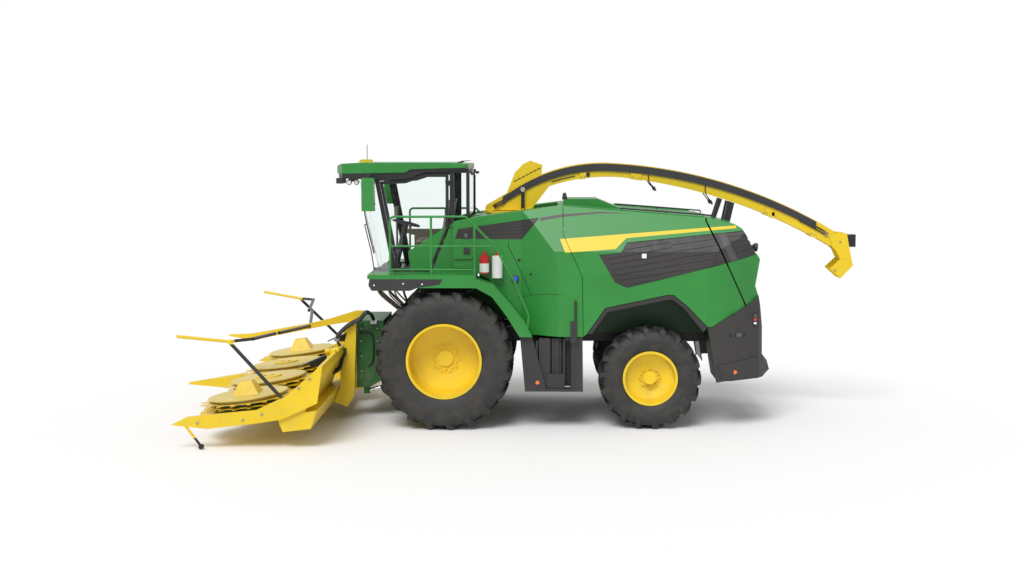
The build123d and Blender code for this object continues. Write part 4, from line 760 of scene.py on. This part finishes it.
def roof_lamps():
    piece = Piece("roof_lamp_lenses")
    for y in (-0.82, -0.56, 0.56, 0.82):
        piece.block(-2.709, -2.700, y - 0.055, y + 0.055, 3.600, 3.663, "white_lens")
        for z0, z1 in ((3.592, 3.600), (3.663, 3.671)):
            piece.block(-2.716, -2.700, y - 0.062, y + 0.062, z0, z1, "plastic")
        for y0 in (y - 0.063, y + 0.055):
            piece.block(-2.716, -2.700, y0, y0 + 0.008, 3.592, 3.671, "plastic")
    piece.done(bevel=0.002)
    piece = Piece("roof_side_lamps")
    case = [(0.0, 0.018), (0.02, 0.036), (0.09, 0.042), (0.10, 0.042), (0.10, 0.034)]
    for side in (-1, 1):
        for x in (-2.52, -2.41):
            piece.turned((x, side * 0.80, 3.612), (0, side, 0), (case, "plastic"),
                         ([(0.094, 0.035), (0.101, 0.033), (0.106, 0.02)], "white_lens"))
            piece.block(x - 0.012, x + 0.012, side * 0.82, side * 0.86, 3.640, 3.685, "plastic")
    piece.done()
    piece = Piece("cab_rear_lamps")
    for y in (-0.66, 0.66):
        piece.block(-0.722, -0.700, y - 0.05, y + 0.05, 3.752, 3.782, "plastic")
        piece.block(-0.712, -0.650, y - 0.06, y + 0.06, 3.715, 3.755, "plastic")
        piece.block(-0.652, -0.644, y - 0.052, y + 0.052, 3.720, 3.750, "white_lens")
    piece.done()


def roof_blade():
    """Thin aerial blade at the roof's rear edge."""
    piece = Piece("roof_blade")
    outline = [(-0.950, 3.893), (-0.860, 3.893), (-0.800, 3.922), (-0.712, 3.932), (-0.716, 3.938),
               (-0.850, 3.930)]
    piece.prism(outline, -0.61, -0.59, "plastic")
    piece.done(bevel=0.002)


def mirror_glasses():
    for piece, side in both("mirror_glass"):
        for z0, z1 in ((3.32, 3.665), (3.225, 3.305)):
            piece.block(-2.081, -2.074, side * 1.400, side * 1.500, z0, z1, "chrome")
        for z0, z1 in ((3.305, 3.32), (3.665, 3.675), (3.215, 3.225)):
            piece.block(-2.081, -2.070, side * 1.394, side * 1.506, z0, z1, "plastic")
        piece.done("rod_chrome", 0.002)


def wiper():
    """Arm, blade and pivot on the windscreen."""
    piece = Piece("wiper")
    pivot = met(["cab_frame", "cab_glass"], (-OUTSIDE, -0.10, 2.240), (1, 0, 0))
    piece.turned(pivot, (-1, 0, 0.1), ([(-0.01, 0.03), (0.03, 0.03), (0.045, 0.018)], "plastic"))
    blade = [met(["cab_glass"], (-OUTSIDE, y, z), (1, 0, 0)) + Vector((-0.012, 0, 0))
             for y, z in ((-0.24, 2.50), (-0.27, 2.72), (-0.30, 2.95), (-0.33, 3.18))]
    arm = [point + Vector((-0.035, 0, 0)) for point in [pivot] + blade[:3]]
    piece.tube(blade, 0.009, "plastic", 8)
    piece.tube(arm, 0.008, "plastic", 8)
    piece.tube([arm[-1], blade[2]], 0.007, "plastic", 8)
    piece.done(bevel=0.001)


# Hull details

HULL = ("front_side_panels", "service_panel_left", "service_panel_right", "rear_cowl", "hull_grilles",
        "service_grille_left", "service_grille_right", "fenders", "side_skirts", "rear_bumper")
SEAM_DEPTH = 0.001
COWL_FOOT = 1.84
WHEEL_BOLTS = 10
TAIL_STRIP_Z = 1.395


def on_hull(x, z, side):
    return on_side(HULL, x, z, side)


def hull_line(corners, side, count=10):
    """Points along (x, z) corners, just under the hull's surface."""
    path = [Vector(start).lerp(Vector(end), k / count)
            for start, end in zip(corners, corners[1:]) for k in range(count)]
    return [on_hull(x, z, side) - Vector((0, side * SEAM_DEPTH, 0)) for x, z in path + [corners[-1]]]


def seams():
    """Dark joint lines of the lower front side panels."""
    steep = [(-0.138, 2.745), (-0.138, 2.671), (0.03, 2.33), (0.206, 1.968)]
    level = [(-0.010, 1.905), (0.225, 1.964), (0.527, 2.000), (0.655, 1.985)]
    for piece, side in both("panel_seam"):
        piece.tube(hull_line(steep, side), 0.0055, "black", 6, 1)
        piece.tube(hull_line(level, side), 0.0035, "black", 6, 1)
        piece.done(bevel=0.0005)


def seals():
    """Rubber strip behind the gap between each service panel and the rear cowl."""
    section = ((-0.035, -0.012), (0.045, -0.012), (0.045, 0.004), (-0.035, 0.004))
    for piece, side in both("panel_seal"):
        rings = []
        for x, z in ((3.072, 2.40), (3.215, 2.10), (3.285, 1.95), (3.340, 1.84), (3.364, 1.79)):
            y = met(["rear_cowl"], (x + 0.03, 0.0, max(z, COWL_FOOT)), (0, side, 0)).y
            rings.append([(x + along, y + side * out, z) for along, out in section])
        piece.skin(rings, "plastic")
        piece.done(bevel=0.002)


def wheel_bolts():
    """Bolt ring on each wheel's disc."""
    wheels = (("front", FRONT_WHEEL, 0.167, 0.018), ("rear", REAR_WHEEL, 0.137, 0.013))
    for name, (x, z), ring, size in wheels:
        for piece, side in both(name + "_wheel_bolts", name + "_wheel_{}"):
            rim = piece.body.replace("wheel", "rim")
            for k in range(WHEEL_BOLTS):
                turn = 2 * math.pi * (k + 0.5) / WHEEL_BOLTS
                place = on_side([rim], x + ring * math.cos(turn), z + ring * math.sin(turn), side)
                piece.bolt(place, side, (size * 1.4, size), (size, size * 0.75), (0.024, 0.027),
                           ("yellow", "yellow"), 16)
            piece.done("yellow_paint", 0.001)


def shelves():
    """Step shelves, the lamp box and the lamp of the front side panels."""
    for piece, side in both("panel_shelves"):
        for z, height, reach in ((2.690, 0.016, 0.020), (2.487, 0.020, 0.035), (2.345, 0.075, 0.030)):
            y = on_hull(-0.80, z, side).y
            piece.prism([(-0.940, z), (-0.665, z), (-0.665, z + height), (-0.940, z + height * 0.8)],
                        y - side * SUNK, y + side * reach, "green")
        y = on_hull(-0.65, 2.5, side).y
        piece.block(-0.665, -0.630, y - side * SUNK, y + side * 0.030, 2.290, 2.706, "green")
        piece.block(-0.800, -0.705, y - side * SUNK, y + side * 0.018, 2.560, 2.655, "warm_plastic")
        piece.block(-0.785, -0.720, y - side * 0.014, y + side * 0.022, 2.580, 2.635, "plastic")
        piece.done("green_paint", 0.006)
    for piece, side in both("grille_lamp"):
        y = on_hull(-0.764, 2.831, side).y
        piece.turned((-0.764, y - side * SUNK, 2.831), (0, side, 0),
                     ([(0.0, 0.052), (0.022, 0.052), (0.026, 0.046), (0.018, 0.040)], "plastic"),
                     ([(0.010, 0.041), (0.021, 0.036), (0.026, 0.018)], "dark_lens"))
        piece.block(-0.655, -0.630, y - side * SUNK, y + side * 0.012, 2.785, 2.925, "louvre")
        piece.done()


def left_fittings():
    """Filler cap and panel locks on the left side."""
    piece = Piece("filler_cap")
    piece.turned(on_hull(-0.037, 2.188, -1), (0, -1, 0),
                 ([(-0.01, 0.058), (0.012, 0.058), (0.018, 0.052)], "plastic", 32),
                 ([(0.010, 0.044), (0.040, 0.046), (0.052, 0.040), (0.056, 0.020)], "blue", 12))
    piece.done()
    piece = Piece("panel_locks")
    for x, z in ((0.200, 2.270), (0.020, 2.470)):
        piece.turned(on_hull(x, z, -1), (0, -1, 0),
                     ([(-0.01, 0.022), (0.006, 0.022), (0.008, 0.016), (0.003, 0.012)], "black"))
    piece.done("black_paint", 0.001)


def walkway_edges():
    """Toothed tread strip and small lamps on each walkway's edge."""
    for piece, side in both("walkway_teeth"):
        inner, outer = side * 1.535, side * 1.556
        for k in range(24):
            x = -1.56 + 0.030 * k
            tooth = [(x, 2.276), (x + 0.022, 2.276), (x + 0.022, 2.288), (x + 0.011, 2.298), (x, 2.288)]
            piece.prism(tooth, inner, outer, "green")
        piece.block(-1.58, -0.84, inner, outer, 2.270, 2.282, "green")
        piece.done("green_paint", 0.001)
    for piece, side in both("edge_lamps"):
        for x, z in ((-1.381, 2.147), (-1.657, 2.154), (-2.080, 2.130)):
            piece.turned(on_side(["side_skirts", "fenders"], x, z, side), (0, side, 0),
                         ([(-0.004, 0.017), (0.004, 0.017), (0.005, 0.014)], "plastic", 16),
                         ([(0.002, 0.013), (0.007, 0.012), (0.009, 0.006)], "white_lens", 16))
        piece.done(bevel=0.001)


def reflectors():
    # Painted light: these reflectors use the glowing orange lens material
    for piece, side in both("reflectors"):
        for x, z in ((3.185, 0.853), (0.297, 0.696)):
            piece.turned(on_hull(x, z, side), (0, side, 0),
                         ([(-0.02, 0.036), (0.006, 0.036), (0.008, 0.030)], "plastic"),
                         ([(0.004, 0.031), (0.011, 0.029), (0.014, 0.015)], "orange"))
        piece.done(bevel=0.001)


def tail_lamps():
    """Lamp clusters in the bumper's upper corners, and the strips beside them."""
    lamps = ((1.640, 1.690, "dark_lens"), (1.590, 1.630, "red"), (1.540, 1.570, "white_lens"))
    for piece, side in both("tail_lamp"):
        y = on_hull(3.475, 1.605, side).y
        piece.prism([(3.430, 1.520), (3.520, 1.520), (3.530, 1.700), (3.470, 1.700)],
                    y - side * 0.05, y + side * 0.012, "black")
        for z0, z1, key in lamps:
            piece.block(3.474, 3.516, y, y + side * 0.018, z0, z1, key)
        piece.done()
    section = ((-0.02, -0.032), (0.008, -0.026), (0.008, 0.026), (-0.02, 0.032))
    for piece, side in both("tail_strip"):
        for ends, key in (((3.09, 3.19), "black"), ((3.20, 3.29), "dark_lens"), ((3.30, 3.35), "black")):
            piece.skin([[(x, on_hull(x, TAIL_STRIP_Z, side).y + side * reach, TAIL_STRIP_Z + rise)
                         for reach, rise in section] for x in ends], key)
        piece.done(bevel=0.002)


def rear_work_lamps():
    for piece, side in both("rear_work_lamp"):
        y = side * 0.98
        wall = met(["rear_cowl", "hull_grilles"], (OUTSIDE, y, 2.66), (-1, 0, 0)).x
        piece.block(wall - 0.02, wall + 0.035, y - 0.02, y + 0.02, 2.64, 2.68, "plastic")
        piece.turned((wall + 0.025, y, 2.66), (1, 0, -0.1),
                     ([(0.0, 0.03), (0.03, 0.06), (0.07, 0.065), (0.078, 0.056)], "plastic"),
                     ([(0.070, 0.056), (0.080, 0.053), (0.086, 0.03)], "white_lens"))
        piece.done()


def louvre_lamps():
    """Square marker lamp on each service grille."""
    for piece, side in both("louvre_lamp", "service_panel_{}"):
        y = on_side([piece.body, piece.body.replace("panel", "grille")], 1.843, 2.558, side).y
        piece.block(1.800, 1.886, y - side * 0.015, y + side * 0.010, 2.515, 2.601, "plastic")
        piece.block(1.809, 1.877, y, y + side * 0.015, 2.524, 2.592, "white_lens")
        piece.done(bevel=0.004)


def on_deck(x, y):
    return met(["top_deck"], (x, y, OUTSIDE), (0, 0, -1))


def deck_fittings():
    """Guard rails along the deck, the box in front of the hump and its feed pipe."""
    for piece, side in both("deck_rail"):
        path = [(1.52, side * 0.90, 3.226), (2.2, side * 0.90, 3.176), (2.905, side * 0.90, 3.121)]
        piece.tube(path, 0.011, "black", 8)
        for top in path:
            piece.tube([on_deck(*top[:2]) - UP * 0.006, top], 0.009, "black", 8)
        piece.done("black_paint", 0.001)
    piece = Piece("deck_box")
    deck = on_deck(0.705, -0.30).z
    piece.prism([(0.660, deck - SUNK), (0.740, deck - SUNK), (0.732, deck + 0.05), (0.670, deck + 0.05)],
                -0.42, -0.24, "plastic")
    piece.turned((0.700, -0.33, deck + 0.045), (0, 0, 1),
                 ([(0.0, 0.03), (0.03, 0.03), (0.045, 0.018)], "plastic"))
    piece.done()


# Hoses and pipes

# Each line's top (x, y) at the cab floor, its bend, its foot (x, y), its material and its radius
CAB_LINES = (
    ((-2.08, -0.62), (-2.12, -0.60, 1.92), (-1.70, -0.34), "pipe_tan", 0.014),
    ((-2.02, -0.56), (-2.06, -0.54, 1.90), (-1.66, -0.30), "pipe_tan", 0.014),
    ((-1.95, -0.70), (-1.93, -0.76, 1.90), (-1.62, -0.35), "white_paint", 0.012),
    ((-1.88, -0.60), (-1.85, -0.66, 1.88), (-1.58, -0.33), "pipe_tan", 0.013),
    ((-1.76, -0.66), (-1.70, -0.72, 1.86), (-1.54, -0.30), "black", 0.017),
    ((-2.09, -0.50), (-2.13, -0.48, 1.93), (-1.72, -0.25), "black", 0.018),
    ((-2.12, -0.40), (-2.16, -0.38, 1.94), (-1.73, -0.19), "black", 0.018),
    ((-2.10, -0.28), (-2.13, -0.26, 1.92), (-1.70, -0.13), "black", 0.020),
    ((-2.06, 0.30), (-2.10, 0.28, 1.92), (-1.70, 0.20), "black", 0.020),
    ((-1.98, 0.52), (-2.01, 0.48, 1.90), (-1.64, 0.32), "pipe_tan", 0.014),
)


def under_cab_lines():
    """Hydraulic lines from the cab floor down to the cutter housing."""
    piece = Piece("under_cab_lines")
    for (x0, y0), bend, (x1, y1), key, radius in CAB_LINES:
        top = met(["cab_frame", "chassis_frame"], (x0, y0, 1.60), (0, 0, 1))
        foot = met(["cutter_housing"], (x1, y1, 2.0), (0, 0, -1))
        path = [top + UP * SUNK, top - UP * 0.10, Vector(bend), foot + UP * 0.09, foot - UP * SUNK]
        piece.tube(path, radius, key)
        nut = [(-0.005, radius * 1.7), (0.03, radius * 1.7), (0.034, radius * 1.2)]
        for place, way in ((top, -1), (foot, 1)):
            piece.turned(place, (0, 0, way), (nut, "steel", 6))
    piece.done(bevel=0.001)


def header_hoses():
    """Hoses from the feeder over its side to the header's back wall."""
    piece = Piece("header_hoses", "feeder")
    route = [(-2.300, 1.660), (-2.400, 1.560), (-2.530, 1.490), (-2.665, 1.385), (-2.749, 1.275),
             (-2.724, 1.172), (-2.640, 1.069), (-2.672, 0.966), (-2.725, 0.800), (-2.885, 0.715)]
    for k in range(3):
        shift = 0.045 * k
        points = [(-2.20, -0.560 - shift, 1.480), (-2.235, -0.60 - shift, 1.590)]
        points += [(x + 0.012 * k, -0.780 - shift, z - 0.008 * k) for x, z in route]
        piece.tube(points, 0.019, "black")
    piece.block(-2.700, -2.600, -0.900, -0.750, 1.040, 1.105, "plastic")
    piece.block(-2.775, -2.700, -0.895, -0.755, 1.215, 1.255, "steel")
    piece.block(-2.250, -2.150, -0.700, -0.530, 1.455, 1.505, "steel")
    piece.done(bevel=0.002)


def spout_foot_hoses():
    """Hoses that bend from the guards' front ends down to the spout's foot."""
    for piece, side in both("spout_foot_hoses", "spout"):
        for k in range(3):
            y = side * (0.190 + 0.004 * k)
            points = [(-0.20, y, 3.350 - 0.03 * k), (-0.27, y + side * 0.012, 3.310 - 0.03 * k),
                      (-0.36, y + side * 0.012, 3.262 - 0.025 * k),
                      (-0.40 + 0.02 * k, side * 0.178, 3.232 - 0.02 * k)]
            piece.tube(points, 0.009, "black", 8)
        piece.done(bevel=0.001)


# Header and feeder details

def header_shields():
    """Sloping cover over each end of the centre section's back wall."""
    cover = [(-3.220, 0.906), (-2.745, 1.098), (-2.700, 1.120), (-2.700, 1.132), (-2.760, 1.118),
             (-3.220, 0.918)]
    web = [(-3.060, 0.900), (-2.840, 0.920), (-2.770, 0.985), (-2.745, 1.100), (-3.060, 0.975)]
    for piece, side in both("header_shield", "feeder"):
        piece.prism(cover, side * 1.330, side * 1.485, "black")
        piece.prism(web, side * 1.394, side * 1.406, "black")
        piece.done("black_paint", 0.002)


def end_panel_bolts():
    for piece, side in both("end_panel_bolts", "wing_{}"):
        for x, z in ((-3.465, 0.498), (-3.726, 0.419), (-4.35, 0.375), (-2.95, 0.86), (-2.80, 0.99)):
            wall = on_side(["header_" + piece.body], x, z, side)
            piece.bolt(wall, side, (0.030, 0.022), (0.019, 0.014), (0.016, 0.018))
        piece.done("yellow_paint", 0.001)


def flap_bolts():
    """Pivot bolt on each side of both flaps."""
    for node, x, z in (("spout_flap_inner", 4.932, 2.692), ("spout_flap_outer", 4.859, 2.254)):
        for piece, side in both(node + "_bolt", node):
            piece.bolt(on_side([node], x, z, side), side, (0.030, 0.022), (0.018, 0.013), (0.014, 0.016))
            piece.done("yellow_paint", 0.001)


def feeder_fittings():
    """Bolts and a pipe on the feeder's side plates."""
    for piece, side in both("feeder_fittings", "feeder"):
        for x in (-2.40, -2.15, -1.95):
            for z in (0.72, 0.95, 1.18, 1.38):
                wall = on_side(["feeder_housing"], x, z, side)
                if wall and abs(wall.y) > 0.5:
                    # Washers in the darker green copy that paints shade on the feeder
                    piece.bolt(wall, side, (0.024, 0.017), (0.015, 0.011), (0.013, 0.015),
                               ("shaded_green", "steel"))
        route = ((-2.42, 1.30), (-2.30, 1.32), (-2.22, 1.24), (-2.22, 0.90), (-2.30, 0.80))
        raised = Vector((0, side * 0.012, 0))
        piece.tube([on_side(["feeder_housing"], x, z, side) + raised for x, z in route], 0.014, "black", 8)
        piece.done("yellow_paint", 0.001)


# Spout details

SPOUT_WALL = 0.176


def spout_edge(x, side, way=1):
    """Height of the spout's underside at one x, or with way -1 of its top."""
    start = 2.2 if way > 0 else 6.0
    return met(["spout_sides"], (x, side * SPOUT_WALL, start), (0, 0, way)).z


def spout_brackets():
    """Bolted brackets and rubber stops along the spout's lower edge."""
    for piece, side in both("spout_brackets", "spout"):
        wall, front = side * SPOUT_WALL, side * (SPOUT_WALL + 0.030)
        for x0, x1 in ((0.930, 1.030), (1.720, 1.880), (3.780, 3.960), (4.470, 4.560)):
            low0, low1 = spout_edge(x0, side), spout_edge(x1, side)
            piece.prism([(x0, low0 - SUNK), (x1, low1 - SUNK), (x1, low1 + 0.085), (x0, low0 + 0.085)],
                        wall, front, "yellow")
            for x in (x0 + 0.025, x1 - 0.025):
                z = low0 + (low1 - low0) * (x - x0) / (x1 - x0) + 0.035
                piece.turned((x, side * 0.204, z), (0, side, 0),
                             ([(0.0, 0.012), (0.009, 0.012), (0.011, 0.008)], "steel", 6))
        for x in (1.062, 3.900):
            z = spout_edge(x, side) + 0.05
            piece.block(x - 0.022, x + 0.022, wall, front, z - 0.03, z + 0.03, "black")
        piece.done("yellow_paint", 0.002)


def spout_sensor_arms():
    for piece, side in both("spout_sensor_arms", "spout"):
        for x, drop in ((2.010, 0.105), (2.880, 0.120)):
            z, tip = spout_edge(x, side), side * 0.150
            piece.tube([(x - 0.02, side * 0.186, z + 0.13), (x - 0.02, side * 0.188, z + 0.02),
                        (x + 0.02, side * 0.178, z - 0.05), (x + 0.075, tip, z - drop)], 0.008, "black", 8)
            foot = [(x + 0.045, z - drop + 0.020), (x + 0.075, z - drop + 0.030),
                    (x + 0.105, z - drop - 0.035), (x + 0.075, z - drop - 0.045)]
            piece.prism(foot, tip - 0.015, tip + 0.015, "black")
        piece.done(bevel=0.001)


def spout_lines():
    """Sealing strip near the spout's foot, and the lines to its flaps."""
    for piece, side in both("spout_strip", "spout"):
        places = [0.500 + 0.045 * k for k in range(9)]
        piece.tube([(x, side * 0.183, spout_edge(x, side) + 0.055) for x in places], 0.008, "black", 8, 1)
        piece.done(bevel=0.001)
    for piece, side in both("flap_lines", "spout"):
        for k in range(2):
            path = [(x, side * (0.192 + 0.006 * k), spout_edge(x, side, -1) - 0.085 - 0.045 * k)
                    for x in (4.30, 4.45, 4.60, 4.72)]
            piece.tube(path, 0.010, "black", 8)
            piece.turned(path[-1], (1, 0, -0.5),
                         ([(-0.03, 0.014), (0.02, 0.014), (0.025, 0.01)], "steel", 8))
        piece.done(bevel=0.001)


def hood_vents():
    piece = Piece("hood_vents", "spout")
    for k in range(7):
        x, z = -0.075 + 0.060 * k, 3.602 + 0.031 * k
        slat = [(x, z), (x + 0.048, z + 0.025), (x + 0.044, z + 0.037), (x - 0.004, z + 0.012)]
        for side in (-1, 1):
            piece.prism(slat, side * SPOUT_WALL, side * (SPOUT_WALL + SUNK), "black")
    piece.done("black_paint", 0.001)


roof_lamps()
roof_blade()
mirror_glasses()
wiper()
seams()
seals()
wheel_bolts()
shelves()
left_fittings()
walkway_edges()
reflectors()
tail_lamps()
rear_work_lamps()
louvre_lamps()
deck_fittings()
under_cab_lines()
header_hoses()
spout_foot_hoses()
header_shields()
end_panel_bolts()
flap_bolts()
feeder_fittings()
spout_brackets()
spout_sensor_arms()
spout_lines()
hood_vents()


# Camera, lights and floor

def make_camera():
    data = bpy.data.cameras.new("camera")
    data.lens = LENS_MM
    data.sensor_width = SENSOR_MM
    data.clip_end = CAMERA_REACH
    camera = added("camera", data)
    camera.location = CAMERA_PLACE
    camera.rotation_euler = (math.radians(90.0 + CAMERA_PITCH), 0.0, math.radians(CAMERA_YAW))
    bpy.context.scene.camera = camera


def make_world():
    """White backdrop for the camera, dimmer light for the surfaces."""
    world = bpy.data.worlds.new("studio")
    world.use_nodes = True
    bpy.context.scene.world = world
    tree = Tree(world.node_tree)
    sky = tree.nodes["Background"].inputs
    rays = tree.nodes.new("ShaderNodeLightPath").outputs
    direct = tree.math("MAXIMUM", rays["Is Camera Ray"], rays["Is Transmission Ray"])
    seen = tree.math("MAXIMUM", direct, tree.math("MULTIPLY", rays["Is Glossy Ray"], SKY_IN_GLOSS))
    tree.put((1.0, 1.0, 1.0), sky["Color"])
    tree.put(tree.ramp(seen, 0.0, 1.0, SKY_STRENGTH, 1.0), sky["Strength"])


def make_lights():
    sun = bpy.data.lights.new("key", "SUN")
    sun.energy = KEY_STRENGTH
    sun.angle = math.radians(KEY_ANGLE)
    key = added("key", sun)
    key.rotation_euler = [math.radians(angle) for angle in KEY_TILT]


def make_floor():
    """Pale floor that keeps the shadow and fades into the white surround."""
    mesh = bpy.data.meshes.new("floor")
    reach = FLOOR_FADE[1] + 1.0
    corners = [(-reach, -reach, 0.0), (reach, -reach, 0.0), (reach, reach, 0.0), (-reach, reach, 0.0)]
    mesh.from_pydata(corners, [], [(0, 1, 2, 3)])
    floor = added("floor", mesh)
    look = Look("floor")
    look.set({"Base Color": (FLOOR_WHITE,) * 3, "Roughness": 0.9})
    distance = look.add("VectorMath", {0: look.place}, "Value", operation="LENGTH")
    blend = look.add("MixShader", {0: look.ramp(distance, *FLOOR_FADE), 1: look.shader.outputs[0],
                                   2: look.add("BsdfTransparent", {})})
    look.put(blend, look.nodes["Material Output"].inputs["Surface"])
    mesh.materials.append(look.material)


make_camera()
make_world()
make_lights()
make_floor()
bpy.context.scene.view_settings.view_transform = "Standard"
